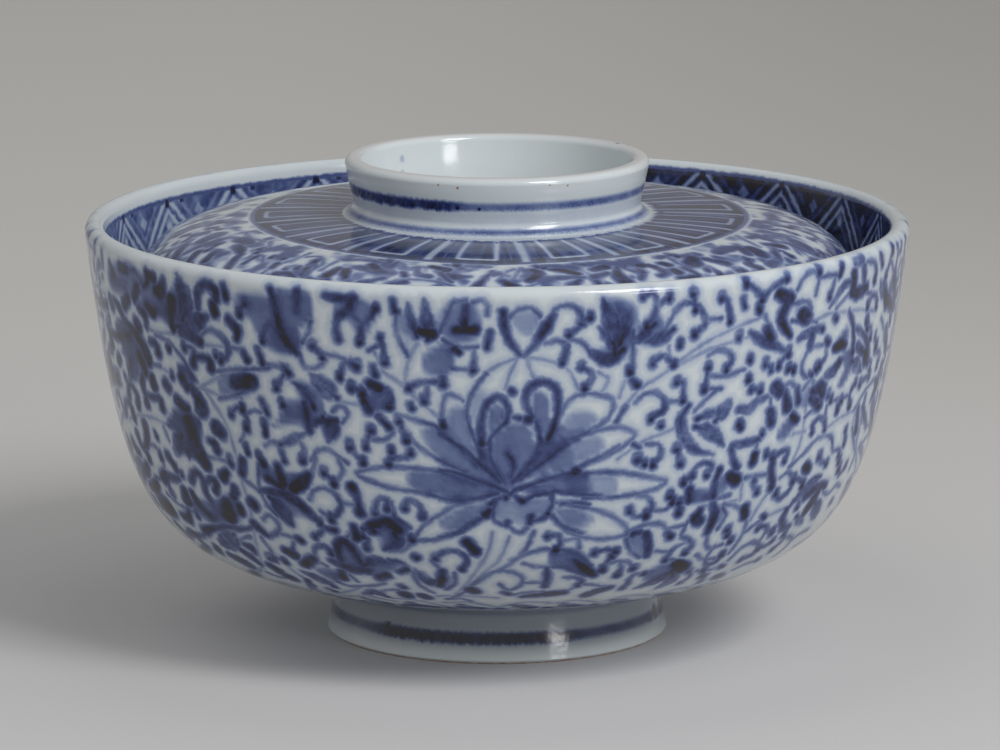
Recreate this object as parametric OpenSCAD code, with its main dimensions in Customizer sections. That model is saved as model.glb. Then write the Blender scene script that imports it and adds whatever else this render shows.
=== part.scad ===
// Donburi: a deep porcelain rice bowl on a turned foot ring, with a domed lid that drops inside the mouth.
// The lid's ring-shaped grip is also its foot when the lid is turned over as a saucer.
// Millimetres, +Z up. The origin is the centre of the foot, on the table.

/* [Bowl] */
// Diameter over the rim
rim_d = 150; // [130:1:180]
// Height of the rim above the table
rim_h = 76.5; // [62:0.5:100]
// Thickness of the wall and of the rim
bowl_wall = 3.6; // [2.6:0.1:5]
// Slope that the outside of the wall keeps under the rim, from level
rim_slope = 83; // [74:1:88]

/* [Foot ring] */
// Diameter over the foot where it stands
foot_d = 62.4; // [52:0.2:76]
// Height of the foot ring
foot_h = 10.3; // [6:0.1:14]
// Thickness of the foot ring
foot_wall = 3.4; // [2.4:0.1:5]
// How far the foot spreads from its waist to the table
foot_spread = 1.6; // [0:0.1:3]
// Radius of the hollow where the foot meets the bowl
foot_fillet = 1.6; // [0.6:0.1:2.6]

/* [Lid] */
// How far the lid's edge sits below the bowl's rim
lid_drop = 18.9; // [10:0.1:24]
// Height of the dome above the lid's edge
lid_rise = 19.6; // [14:0.1:26]
// Thickness of the lid
lid_wall = 3; // [2.2:0.1:4]
// Slope of the lid's shoulder at its edge, from level
lid_edge_slope = 66; // [58:1:74]
// Gap between the lid's edge and the inside of the bowl
seat_gap = 0.3; // [0.2:0.05:0.6]

/* [Grip ring] */
// Diameter over the lip of the grip ring
grip_d = 55.4; // [46:0.2:66]
// Height of the grip ring above the dome
grip_h = 10.5; // [6:0.1:14]
// Thickness of the grip ring at its waist
grip_wall = 3.2; // [2.2:0.1:4.4]
// How far the ring spreads from its waist to its lip
grip_spread = 1.6; // [0:0.1:3]
// Radius of the hollow where the ring meets the dome
grip_fillet = 1.6; // [0.6:0.1:2.6]

/* [Hidden] */

// Straight steps that stand for one long curve, one small round and one full turn
curve_steps = 40;
round_steps = 10;
turn_steps = 180;

porcelain = [0.82, 0.86, 0.88];
painted_bowl = [0.55, 0.62, 0.76];
painted_lid = [0.60, 0.65, 0.76];

// Places of the handles that bend the bowl's wall curve: how far out from the foot, and how far up, the
// first and the second one stand
wall_low_shares = [0.74, 0.088];
wall_high_shares = [0.855, 0.173];

// The same for the dome's curve: how far out from the flat crown, and how far down
dome_low_shares = [0.88, 0];
dome_high_shares = [0.85, 0.305];

// Angle at which a hollow stops short of the face that it runs into, so that no edge thins out to nothing
fillet_stop = 15;

// Bevels of the foot ring where it stands, and rounds inside the two rings
foot_bevel = 0.6;
ring_round = 1.2;
// Flat on the lip of the grip ring, on which the lid stands when it is turned over
grip_land = 0.7;

function along(a, b, share) = a + (b - a) * share;
function unit(v) = v / norm(v);

// A curve from a to d that leaves towards b and arrives from c
function bend(a, b, c, d, t) =
    pow(1 - t, 3) * a + 3 * pow(1 - t, 2) * t * b + 3 * (1 - t) * pow(t, 2) * c + pow(t, 3) * d;
function bend_way(a, b, c, d, t) =
    unit(pow(1 - t, 2) * (b - a) + 2 * (1 - t) * t * (c - b) + pow(t, 2) * (d - c));
function left_of(way) = [-way[1], way[0]];

// Points of the curve h, a list of its four handles, set off by depth to its left
function skin(h, depth) = [
    for (i = [0 : curve_steps])
        let (t = i / curve_steps)
            bend(h[0], h[1], h[2], h[3], t) + depth * left_of(bend_way(h[0], h[1], h[2], h[3], t))
];
function arc(centre, radius, from, to) = [
    for (i = [0 : round_steps])
        let (a = along(from, to, i / round_steps)) centre + radius * [cos(a), sin(a)]
];
function backwards(points) = [for (i = [len(points) - 1 : -1 : 0]) points[i]];
function last(points) = points[len(points) - 1];

// Bowl: the wall's curve starts on the face that the foot ring meets and ends under the rounded rim
rim_r = rim_d / 2;
rim_round = bowl_wall / 2;
foot_waist_r = foot_d / 2 - foot_spread;
joint_r = foot_waist_r + foot_fillet;
wall_start = [joint_r, foot_h];
wall_end = [rim_r - rim_round + rim_round * sin(rim_slope), rim_h - rim_round - rim_round * cos(rim_slope)];
wall_span = wall_end - wall_start;
wall_handle = norm(wall_span - [wall_span[0] * wall_high_shares[0], wall_span[1] * wall_high_shares[1]]);
wall_curve = [
    wall_start,
    wall_start + [wall_span[0] * wall_low_shares[0], wall_span[1] * wall_low_shares[1]],
    wall_end - wall_handle * [cos(rim_slope), sin(rim_slope)],
    wall_end
];
wall_inside = skin(wall_curve, bowl_wall);
floor_z = wall_inside[0][1];

// Radius of the bowl's inside at the height z
function mouth_r(z) = lookup(z, [for (p = wall_inside) [p[1], p[0]]]);

// Lid: its rounded edge hangs just clear of the bowl's inside
lid_edge_r = lid_wall / 2;
lid_edge = [mouth_r(rim_h - lid_drop + lid_edge_r) - seat_gap - lid_edge_r, rim_h - lid_drop + lid_edge_r];
crown_z = rim_h - lid_drop + lid_rise;
grip_waist_r = grip_d / 2 - grip_spread;
crown_r = grip_waist_r + grip_fillet;
shoulder_end = lid_edge + lid_edge_r * [sin(lid_edge_slope), cos(lid_edge_slope)];
dome_span = [shoulder_end[0] - crown_r, crown_z - shoulder_end[1]];
dome_handle = norm([dome_span[0] * (1 - dome_high_shares[0]), dome_span[1] * (1 - dome_high_shares[1])]);
dome_curve = [
    [crown_r, crown_z],
    [crown_r + dome_span[0] * dome_low_shares[0], crown_z - dome_span[1] * dome_low_shares[1]],
    shoulder_end + dome_handle * [-cos(lid_edge_slope), sin(lid_edge_slope)],
    shoulder_end
];

module turn(outline) {
    rotate_extrude($fn = turn_steps) polygon(outline);
}

// The thrown bowl: a flat underside for the foot ring, the outside up to the rim, and the inside back down
module bowl_body() {
    color(painted_bowl) turn(concat(
        [[0, foot_h]],
        skin(wall_curve, 0),
        arc([rim_r - rim_round, rim_h - rim_round], rim_round, rim_slope - 90, rim_slope + 90),
        backwards(wall_inside),
        [[0, floor_z]]
    ));
}

// The turned foot: hollow under the bowl, spreading a little, with bevels where it stands
module foot_ring() {
    foot_r = foot_d / 2;
    bore_r = foot_waist_r - foot_wall;
    color(porcelain) turn(concat(
        [[bore_r, foot_h], [bore_r, foot_bevel], [bore_r + foot_bevel, 0], [foot_r - foot_bevel, 0]],
        [[foot_r, foot_bevel]],
        backwards(arc([joint_r, foot_h - foot_fillet], foot_fillet, 90 + fillet_stop, 180)),
        [[joint_r - foot_fillet * sin(fillet_stop), foot_h]]
    ));
}

// The lid: a flat crown that carries the grip, a falling shoulder and a rounded edge, of one thickness
module lid_dome() {
    color(painted_lid) turn(concat(
        [[0, crown_z]],
        skin(dome_curve, 0),
        arc(lid_edge, lid_edge_r, 90 - lid_edge_slope, -90 - lid_edge_slope),
        backwards(skin(dome_curve, -lid_wall)),
        [[0, crown_z - lid_wall]]
    ));
}

// The grip: a turned ring that spreads to a rounded lip with a narrow flat on top
module grip_ring() {
    lip_r = grip_d / 2;
    lip_round = (grip_wall - grip_land) / 2;
    lip_z = crown_z + grip_h;
    bore_r = grip_waist_r - grip_wall;
    color(porcelain) turn(concat(
        arc([crown_r, crown_z + grip_fillet], grip_fillet, 270 - fillet_stop, 180),
        arc([lip_r - lip_round, lip_z - lip_round], lip_round, 0, 90),
        arc([lip_r - grip_wall + lip_round, lip_z - lip_round], lip_round, 90, 180),
        arc([bore_r - ring_round, crown_z + ring_round], ring_round, 0, fillet_stop - 90)
    ));
}

bowl_body();
foot_ring();
lid_dome();
grip_ring();
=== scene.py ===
import math
import random

import bpy
import numpy as np
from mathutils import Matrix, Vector
from mathutils.kdtree import KDTree


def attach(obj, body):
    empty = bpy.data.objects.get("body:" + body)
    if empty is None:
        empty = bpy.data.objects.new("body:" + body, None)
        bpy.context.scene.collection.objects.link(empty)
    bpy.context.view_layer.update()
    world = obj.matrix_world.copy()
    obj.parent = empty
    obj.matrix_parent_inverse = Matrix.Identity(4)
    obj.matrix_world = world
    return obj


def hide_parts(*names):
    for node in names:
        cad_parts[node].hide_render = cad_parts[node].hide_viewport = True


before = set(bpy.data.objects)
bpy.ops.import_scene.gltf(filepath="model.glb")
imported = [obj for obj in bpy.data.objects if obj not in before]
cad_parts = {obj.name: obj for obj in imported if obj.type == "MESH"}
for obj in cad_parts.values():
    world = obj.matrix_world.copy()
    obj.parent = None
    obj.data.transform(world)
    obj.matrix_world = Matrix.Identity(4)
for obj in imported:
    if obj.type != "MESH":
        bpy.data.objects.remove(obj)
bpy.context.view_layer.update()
mm = 0.001


# ---- Camera ----
# A long lens at a little over a metre, looking down on the bowl by eleven degrees, as the photograph does.
# The lens is the one that gives the photograph's pixels for a sensor 36 mm wide.
camera_spot = (0.53 * mm, -1150.0 * mm, 269.67 * mm)
camera_dip = 10.959
bpy.ops.object.select_all(action='DESELECT')
bpy.ops.object.camera_add(location=camera_spot, rotation=(math.radians(90.0 - camera_dip), 0.0, 0.0))
camera = bpy.context.object
camera.name = "camera"
camera.data.sensor_width = 36.0
camera.data.lens = 230.4
camera.data.clip_start = 0.05
camera.data.clip_end = 20.0
bpy.context.scene.camera = camera


# ---- Bowl body ----
# The thrown and turned porcelain bowl, from the flat that its foot joins up to the thick rounded rim.
# It is painted by brush in cobalt under a clear gloss glaze: a large flower in front and one behind, in a
# dense scroll of vines, curls and leaves, and inside the mouth a border of nested zigzags.
rim_radius = 75.0
rim_height = 76.5
rim_round = 1.8
wall_handles = [(31.2, 10.3), (63.602, 15.948), (68.472, 21.423), (74.987, 74.481)]
bowl_wall_thick = 3.6
turning_steps = 480
border_rows = 22
smooth_below = 40.0


def bend(handles, steps):
    """Points of the curve with those four handles, in mm, as (out from the axis, up)."""
    t = np.linspace(0.0, 1.0, steps + 1)[:, None]
    a, b, c, d = (np.array(h, float) for h in handles)
    return (1 - t) ** 3 * a + 3 * (1 - t) ** 2 * t * b + 3 * (1 - t) * t ** 2 * c + t ** 3 * d


def set_in(points, depth):
    """The same line set off to its left by depth, as a wall's other face."""
    way = np.gradient(points, axis=0)
    way /= np.linalg.norm(way, axis=1)[:, None]
    return points + depth * np.stack([-way[:, 1], way[:, 0]], axis=1)


def arc(centre, radius, start, end, steps):
    """Points of an arc round its centre, from a start to an end in degrees."""
    a = np.radians(np.linspace(start, end, steps + 1))
    return np.array(centre) + radius * np.stack([np.cos(a), np.sin(a)], axis=1)


def even(points, gap):
    """The same line with its points about gap mm apart."""
    run = np.r_[0.0, np.cumsum(np.linalg.norm(np.diff(points, axis=0), axis=1))]
    at = np.linspace(0.0, run[-1], max(2, round(run[-1] / gap)) + 1)
    return np.stack([np.interp(at, run, points[:, 0]), np.interp(at, run, points[:, 1])], axis=1)


def turned(name, outline, steps):
    """A solid turned about the axis from an outline of (out, up) points in mm."""
    points = [Vector((out * mm, 0.0, up * mm)) for out, up in outline]
    bpy.ops.object.select_all(action='DESELECT')
    bpy.ops.mesh.primitive_plane_add(size=1.0 * mm, location=points[0])
    piece = bpy.context.object
    piece.name = piece.data.name = name
    bpy.ops.object.transform_apply(location=True, rotation=True, scale=True)
    bpy.ops.object.mode_set(mode='EDIT')
    bpy.ops.mesh.select_mode(type='VERT')
    bpy.ops.mesh.select_all(action='SELECT')
    bpy.ops.mesh.merge(type='CENTER')
    for here, there in zip(points, points[1:]):
        bpy.ops.mesh.extrude_region_move(TRANSFORM_OT_translate={"value": there - here})
    bpy.ops.mesh.select_all(action='SELECT')
    bpy.ops.mesh.spin(steps=steps, angle=math.tau, center=(0.0, 0.0, 0.0), axis=(0.0, 0.0, 1.0))
    bpy.ops.mesh.select_all(action='SELECT')
    bpy.ops.mesh.remove_doubles(threshold=0.005 * mm)
    bpy.ops.mesh.normals_make_consistent(inside=False)
    bpy.ops.object.mode_set(mode='OBJECT')
    bpy.ops.object.shade_smooth_by_angle(angle=math.radians(smooth_below))
    return piece


wall_fine = bend(wall_handles, 400)
rim_centre = (rim_radius - rim_round, rim_height - rim_round)
rim_arc = arc(rim_centre, rim_round, -7.0, 173.0, 10)
lining_fine = set_in(wall_fine, bowl_wall_thick)[::-1]
lining_even = even(lining_fine, 1.0)
floor_height = lining_fine[-1][1]
bowl_outline = np.vstack([
    [(0.0, wall_handles[0][1])],
    even(wall_fine, 1.0),
    rim_arc[1:-1],
    lining_even[:border_rows],
    even(lining_even[border_rows:], 2.5),
    [(20.0, floor_height), (10.0, floor_height), (0.0, floor_height)],
])
bowl = turned("bowl_body_painted", bowl_outline, turning_steps)


def chart_of(profile, zero):
    """A chart of a turned face: a turn in degrees, 0 in front and growing to the right, and mm along the
    profile from its point number zero, become a place on the face in metres."""
    run = np.r_[0.0, np.cumsum(np.linalg.norm(np.diff(profile, axis=0), axis=1))]
    run -= run[zero]

    def place(turn, along):
        out = np.interp(along, run, profile[:, 0]) * mm
        up = np.interp(along, run, profile[:, 1]) * mm
        a = np.radians(turn)
        return np.stack([out * np.sin(a), -out * np.cos(a), up], axis=-1)

    return place


def smoothed(points, closed=False):
    """A curve through given points of a chart, dense enough to measure along."""
    p = np.array(points, float)
    if len(p) == 1:
        return p
    if closed:
        p = np.vstack([p[-1], p, p[:2]])
    else:
        p = np.vstack([2 * p[0] - p[1], p, 2 * p[-1] - p[-2]])
    t = np.linspace(0.0, 1.0, 12, endpoint=False)[:, None]
    bits = []
    for a, b, c, d in zip(p, p[1:], p[2:], p[3:]):
        bits.append(0.5 * (2 * b + (c - a) * t + (2 * a - 5 * b + 4 * c - d) * t ** 2
                           + (3 * b - a - 3 * c + d) * t ** 3))
    bits.append(p[-2:-1])
    return np.vstack(bits)


class Painting:
    """Brush strokes on one chart. Each stroke is kept as short tapered round-ended marks: two ends, two
    radii in mm and two tones, from 0, bare glaze, to 1, cobalt pooled until it is brown-black."""

    def __init__(self, place):
        self.place = place
        self.marks = []
        self.washes = []
        self.chance = random.Random(7)

    def stroke(self, points, radii, tones):
        """Radii and tones are given at even steps along the stroke, or as one number where they stay the
        same. Where the stroke is broad the cobalt lies thinner."""
        shortest, longest, sharpest = 0.45 * mm, 1.9 * mm, math.cos(math.radians(22.0))
        radii, tones = np.atleast_1d(radii), np.atleast_1d(tones)
        path = smoothed(points)
        spots = self.place(path[:, 0], path[:, 1])
        if len(spots) == 1:
            spots = np.vstack([spots, spots + 1e-7])
        run = np.r_[0.0, np.cumsum(np.linalg.norm(np.diff(spots, axis=0), axis=1))]
        share = run / run[-1]
        keep = [0]
        for i in range(1, len(spots) - 1):
            came = spots[i] - spots[keep[-1]]
            goes = spots[i + 1] - spots[i]
            length = np.linalg.norm(came)
            if length < shortest:
                continue
            first = spots[keep[-1] + 1] - spots[keep[-1]]
            cosine = first @ goes / (np.linalg.norm(first) * np.linalg.norm(goes) + 1e-12)
            if length > longest or cosine < sharpest:
                keep.append(i)
        keep.append(len(spots) - 1)
        ticks = np.linspace(0.0, 1.0, len(radii))
        tone_ticks = np.linspace(0.0, 1.0, len(tones))
        for i, j in zip(keep, keep[1:]):
            r = np.interp(share[[i, j]], ticks, radii)
            t = np.minimum(np.interp(share[[i, j]], tone_ticks, tones), 1.12 - 0.2 * r)
            self.marks.append((*spots[i], *spots[j], *(r * mm), *t))

    def vine(self, *points):
        """A thin pale stem."""
        self.stroke(points, (0.29, 0.33, 0.29), (0.42, 0.36, 0.42))

    def line(self, *points):
        """The outline of a petal."""
        self.stroke(points, (0.44, 0.48, 0.48, 0.42), (0.54, 0.48, 0.56))

    def curl(self, *points):
        """A scroll that swells to its end, where the cobalt pools."""
        self.stroke(points, (0.42, 0.52, 0.66, 0.80), (0.50, 0.54, 0.72))
        self.dot(points[-1])

    def hook(self, *points):
        """A scroll with a pool at both ends."""
        self.stroke(points, (0.74, 0.54, 0.74), (0.70, 0.54, 0.70))
        self.dot(points[0], tone=0.84)
        self.dot(points[-1])

    def dot(self, *points, tone=1.0):
        """A blot. The cobalt in it runs down and is darkest at its lower end."""
        size = self.chance.uniform(0.86, 1.10)
        if len(points) == 1:
            (turn, along), reach = points[0], self.chance.uniform(0.2, 0.5)
            points = [(turn, along - reach), (turn, along + reach)]
        self.stroke(points, (0.9 * size, size), (0.66 * tone, tone))

    def leaf(self, *points, wide=1.45):
        """One lobe from its base to its tip: a lighter wash round a dark vein that starts in a pool."""
        self.stroke(points, (0.45, 0.95 * wide, wide, 0.72 * wide, 0.3), (0.62, 0.58, 0.55, 0.55))
        path = smoothed(points)
        self.stroke(path[:max(2, round(0.62 * len(path)))][::4], (0.75, 0.62, 0.4), (0.92, 0.8, 0.66))

    def wash(self, *points, tone=0.36):
        """A pale pool of thin cobalt inside an outline."""
        self.washes.append((smoothed(points, closed=True), tone))

    def again(self, turn, low=-180.0, high=180.0, clear=0.0):
        """Repeats what has been painted so far between two turns, turned round the axis, but for marks that
        would start within clear mm of another."""
        c, s = math.cos(math.radians(turn)), math.sin(math.radians(turn))
        there = np.array([mark[:3] for mark in self.marks])
        more = [(c * x - s * y, s * x + c * y, z, c * u - s * v, s * u + c * v, w, *rest)
                for x, y, z, u, v, w, *rest in self.marks
                if low <= math.degrees(math.atan2(x + u, -y - v)) <= high]
        self.marks += [mark for mark in more
                       if np.linalg.norm(there - mark[:3], axis=1).min() >= clear * mm]
        self.washes += [(outline + (turn, 0.0), tone) for outline, tone in self.washes
                        if low <= outline[:, 0].mean() <= high]




on_wall = chart_of(np.vstack([arc(rim_centre, rim_round, 90.0, -7.0, 30)[:-1], wall_fine[::-1]]), 28)
wall = Painting(on_wall)
# The flower's tulip bud under the rim, with its curl
wall.wash((1.9, 3.2), (4, 1.8), (5.6, 3.2), (5, 6.2), (3.2, 6.4), tone=0.34)
wall.stroke([(0.8, 2.3), (1, 5), (1.7, 7.6), (3.1, 10)], (0.95, 0.9, 0.8, 0.7), (0.8, 0.7, 0.7))
wall.line((1.6, 3.2), (2.8, 1.9), (4.4, 1.6), (5.7, 3))
wall.stroke([(7.4, 3), (6.3, 5.6), (5.2, 8), (3.6, 10.2)], (0.7, 1.3, 0.8, 0.5), (0.6, 0.9, 0.7, 0.6))
wall.curl((6.6, 3.6), (8, 1.6), (9.8, 1.4), (11.2, 3), (11, 5.2), (9.6, 6.4))
wall.hook((11.2, 4.4), (12.4, 3.4))
wall.curl((6.4, 8), (8.2, 7.6), (9.3, 8.6), (8.8, 11.4))
wall.line((9.6, 7.3), (11.3, 8), (12.4, 9.6))
wall.dot((-0.9, 6), (-1.3, 8.7))
wall.curl((-3, 9.2), (-3.2, 12.6))
# Leaves and curls right of the bud
for wide, points in [
        (1.9, [(15.9, 10.6), (15.6, 6), (14, 0.3)]), (1.2, [(16.6, 8.6), (17.4, 4.6), (15.8, 1.2)]),
        (1.4, [(17.2, 9.6), (14.8, 11.4), (11.9, 9.2)]), (1, [(15.6, 8.4), (13.6, 5.4)])]:
    wall.leaf(*points, wide=wide)
wall.hook((19.5, 0.3), (20.8, -0.2), (21.5, 1.2), (21.2, 4), (20.3, 5.6))
wall.curl((21.4, 2.6), (22.4, 1.4), (23.3, 0.7))
wall.leaf((21.4, 5.4), (19.9, 7.2), (18.4, 8.8), wide=1.2)
wall.leaf((24.2, 6.6), (22.6, 8), (20.2, 8.6), wide=1.3)
wall.line((18.4, 6.4), (18.5, 10), (18.6, 12.2), (18.2, 13.5))
wall.dot((18.2, 13.6))
wall.vine((18.2, 14), (17.4, 16), (16.9, 18.4))
wall.dot((18.6, 15.4), (19.3, 16.4))
wall.curl((22.2, 8.7), (23.6, 5.1), (24.9, 2.5), (26.8, 2.2), (28.6, 4.4), (28.9, 6.4), (27.4, 7.8))
wall.hook((26.8, 0.3), (27.3, 3.4))
wall.line((29, 5.4), (31.4, 5.5))
wall.dot((25.3, 9.4))
wall.hook((21.5, 12.4), (23, 11.3), (24.6, 12.9))
wall.vine((23.7, 9.7), (23.8, 11.4))
wall.vine((38.2, 6.2), (33.7, 7.6), (29.6, 9.4), (26.4, 11.7), (24.8, 13.2))
wall.vine((36.4, 9.5), (31.5, 10.5), (27.6, 12), (24.4, 13.7), (22, 15.5), (19.5, 17.3), (17.8, 20.1))
wall.stroke([(17.9, 20), (16.7, 22.7)], (0.5, 0.6), (0.55, 0.8))
wall.curl((19.2, 19.5), (20.5, 18.1), (22.2, 18), (23.6, 19.5), (23.5, 21.4), (21.8, 22.6))
wall.dot((23.3, 24))
wall.line((23.6, 19.8), (26.2, 19.8))
wall.hook((25.2, 16.2), (26.2, 16.8), (26.4, 19.6))
wall.hook((30, 14), (29.7, 18))
wall.line((30.6, 18.2), (32.4, 18.4))
wall.curl((29.8, 12.1), (31.2, 11.2), (32.8, 11.6), (33.8, 13.2), (33, 14.8))
wall.line((30.4, 15.8), (33, 16.2), (36, 15.4))
wall.dot((34.6, 9.1))
wall.dot((36.9, 13.6))
wall.dot((37, 17.3))
wall.hook((31.2, 1.6), (32.3, 2.6), (32.9, 6))
wall.dot((34.8, 2.4), (35.2, 4))
wall.hook((35.2, -0.4), (36.8, 1), (38, 2.8))
wall.dot((37.6, 4.2))
wall.dot((36.3, 25.4))
wall.dot((36.6, 25.9))
wall.hook((26.2, 28.6), (27, 31.6))
wall.curl((21.4, 27.4), (23.3, 27.7), (23.7, 29.8), (22.6, 31.2))
wall.hook((20.2, 29.9), (21.4, 31))
wall.vine((25.7, 24.8), (22.2, 26.2), (20, 27.3), (17.3, 29.8))
wall.stroke([(20.2, 27.9), (19.4, 27.3)], (0.6, 0.7), (0.7, 0.85))
# Leaf spray right of the flower
wall.leaf((27.4, 20.9), (26.3, 23.2), (27, 26.4), (29, 29.2), (32.2, 30.6), wide=1.2)
wall.leaf((32, 24.4), (34.3, 20.8), wide=1.6)
wall.line((28.4, 22), (30, 20.2), (31.6, 18.6))
wall.leaf((28.8, 25), (31.6, 26.4), (34, 29.2), wide=1.5)
wall.leaf((29, 23.6), (31, 22.8), (33, 23.4), wide=1.0)
# Small lobed leaf over the round petal
wall.hook((11.4, 12.4), (13, 14.2), (12, 16.2))
wall.vine((13.8, 13.6), (15.2, 14.8), (14.6, 16.8), (13.4, 17.6))
# Thin rings of the flower's crown
for points in [
        [(3, 10.3), (6, 10.9), (8.8, 12.1), (10.2, 13.8), (10.9, 16.2), (11.6, 17.3)],
        [(3.2, 10.4), (0.5, 11.6), (-1.5, 13.3), (-2.8, 15.5), (-3.6, 18.2), (-4.2, 20.8)],
        [(2.7, 10.8), (1.8, 13.4), (1.1, 16.2)], [(4.1, 10.8), (4.5, 13), (5.2, 14.8)]]:
    wall.vine(*points)
wall.stroke([(2, 16.5), (2.2, 16.8)], 0.85, 0.8)
# Round petal at the upper right, and the long one under it
wall.wash((8.7, 23.6), (10.2, 20.6), (12.8, 20.6), (14.2, 22.4), (12.2, 24.3), (10, 25.2), tone=0.33)
wall.line((8.5, 21.6), (9.6, 18.7), (11.5, 17.4), (14, 17.6), (15.9, 18.7), (16, 20.8), (14.8, 23),
            (12.4, 24.6), (10, 25.8))
wall.wash((8.6, 28), (11.8, 25.5), (14.6, 25.4), (15, 28), (12.2, 30.2), (9.6, 31.2), tone=0.36)
wall.line((9.6, 26.6), (12.4, 24.8), (15.6, 23.9), (17.8, 23.9), (19.5, 25.3), (18.6, 26.9), (16.7, 28.4),
            (13.5, 30.1), (10.8, 31.2))
# The flower's long petals on the right, over a deep wash at its heart
wall.wash((12.6, 32.5), (17, 32.8), (17.2, 36.8), (12.6, 36.8), tone=0.28)
wall.line((9.1, 32.9), (13.5, 32.1), (17.3, 32.3), (20.6, 33.2), (23.3, 34), (25, 34.9), (23.6, 36.1),
            (20.6, 36.8), (16.7, 37.1), (12.5, 37))
wall.wash((8.4, 38.4), (12, 39.3), (14.6, 41), (12.6, 43.4), (10, 42.4), tone=0.34)
wall.line((7.6, 40), (9.6, 42.5), (11.6, 44.3), (14.6, 45.4), (17.8, 45.5), (20, 44.8), (19.5, 43),
            (17.8, 41.4), (15.1, 39.6), (12.4, 38.7), (8.4, 37.6))
# Stems under the flower, and the scroll that they open into
wall.vine((-0.7, 43.4), (-1, 46.1), (-1.8, 48.9), (-3.2, 52.1), (-5, 56), (-7.2, 60))
wall.vine((1.9, 44.3), (1.2, 47.1), (0.1, 50), (-2.4, 53.2), (-5.2, 57.4))
wall.line((5.5, 43.4), (4.7, 46.1), (3.9, 48.2), (1.5, 51.1), (-1.3, 53.2), (-3.4, 55.6), (-6, 59.4),
            (-8, 61.5))
wall.wash((8.2, 47.7), (12, 48.7), (14.3, 51), (16.5, 54.2), (14, 54.4), (11, 52.5), (8.4, 51.2), tone=0.5)
wall.line((2.3, 49.8), (5, 47.9), (7.5, 47.1), (10.2, 47.5), (12.9, 48.9), (14.6, 51.2), (16.4, 54))
wall.line((4.2, 50.4), (6.4, 51.4), (9.6, 51.5), (12.4, 52.6), (14.6, 54.3))
wall.stroke([(12.2, 50), (14.2, 52.4), (16, 54.2)], (0.8, 1.3, 1), (0.7, 0.88, 0.8))
wall.hook((7.6, 44.3), (9.2, 44.3), (9.6, 46), (9, 47.2))
wall.line((10.2, 45.4), (12.3, 45.2), (12.7, 47.2))
wall.hook((15.2, 48.4), (16.8, 47.9), (18.6, 48.4))
wall.hook((18.2, 49.4), (17.6, 51), (17.2, 52.6))
wall.line((17.8, 51.4), (19.5, 50.9), (21.4, 51.4), (22.2, 52.6))
wall.dot((22.6, 52.9))
wall.curl((19.8, 51), (20.4, 52.6), (20.1, 54.6))
wall.wash((20.2, 45), (23, 44.4), (24.6, 47), (25, 50), (22.5, 50), (20.8, 47.5), tone=0.38)
wall.line((19.8, 44.4), (21.4, 43.6), (23.6, 43), (25.7, 43.6), (27, 45.4))
wall.dot((26.8, 45.4), (27.5, 46.4))
wall.stroke([(23.2, 45.2), (24, 47.6), (24.2, 50.2)], (0.9, 1.1, 0.8), (0.74, 0.66, 0.64))
wall.stroke([(21, 44.8), (22, 44.6)], (0.9, 0.7), (0.8, 0.7))
wall.line((20, 46), (21, 48.6), (23, 50.4))
wall.line((26.8, 44.4), (29.4, 44.2))
wall.curl((30, 43.4), (29.4, 46.4), (31, 47.4), (32, 49), (31.2, 50.4))
wall.curl((30.6, 48.2), (29.2, 48.7), (28.2, 50), (27.9, 51.6))
wall.line((25.7, 49.3), (27.8, 49.8))
wall.stroke([(31.8, 41.4), (31.4, 43), (32, 43.6)], (0.8, 1.6, 1.5), (0.8, 1, 1))
wall.stroke([(33.9, 40.6), (34.6, 43), (34.2, 46.4)], (0.9, 1.4, 1), (0.66, 0.78, 0.8))
wall.wash((34.4, 41.4), (36.6, 42.4), (36.6, 45), (34.6, 46.2), tone=0.36)
wall.line((35.9, 41.5), (37, 43.4), (36, 46))
wall.line((34.4, 47), (34.8, 49.3), (36.4, 50.5), (38.4, 49.8))
wall.dot((38.6, 47.6))
wall.curl((28.8, 33.9), (29.8, 32.5), (31.3, 32), (32.4, 33), (31.8, 34.3))
wall.hook((29.3, 34.2), (28, 35.2))
wall.line((29.2, 34.6), (29.2, 37))
wall.wash((28.2, 37.6), (30, 36.8), (33, 37.5), (33.6, 39.6), (30, 40), (28.3, 39.6), tone=0.52)
wall.stroke([(29.2, 36.8), (29.4, 39)], (1, 0.8), (0.8, 0.72))
wall.hook((26, 37.6), (26.6, 38.8))
wall.hook((27.7, 39.2), (28, 41.2))
wall.curl((20.8, 37.1), (22.2, 37.4), (23.1, 38.6), (23.3, 40), (22.6, 41))
wall.line((23.3, 40.4), (25.7, 40.4), (26.5, 39.3))
wall.hook((22.6, 41.2), (20.9, 41.4), (19.8, 40))
wall.stroke([(33.9, 33.8), (33.4, 35.8), (33.7, 38.8)], (0.9, 0.9, 1), (0.84, 0.68, 0.8))
wall.wash((34, 35), (35.6, 35.2), (36, 38), (34.2, 38.8), tone=0.42)
wall.stroke([(36.2, 35.4), (37.4, 36.4)], 1.5, (1, 0.96))
wall.stroke([(35.5, 30.2), (36.1, 32.2), (36.9, 33.9)], (0.9, 0.8, 1), (0.7, 0.62, 0.76))
wall.line((32.3, 38.9), (34.2, 39.6), (36.6, 39.2))
wall.vine((32, 40.6), (34.6, 41), (38.2, 40.4))
wall.line((-4.4, 56.6), (-2, 53.4), (0.4, 52.2), (2.4, 52.5), (3.9, 53.8), (4.2, 55.7), (3.3, 57.4),
            (1.9, 58), (0.4, 56))
wall.dot((1.3, 59), (2, 59.6))
wall.line((4.6, 55.7), (7.8, 55.7))
wall.stroke([(7.9, 51.8), (8.2, 54.4), (8, 57)], (0.7, 1.05, 0.9), (0.7, 0.9, 0.7))
wall.curl((11, 54.4), (12.9, 54.6), (14.2, 55.8), (13.7, 57))
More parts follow.
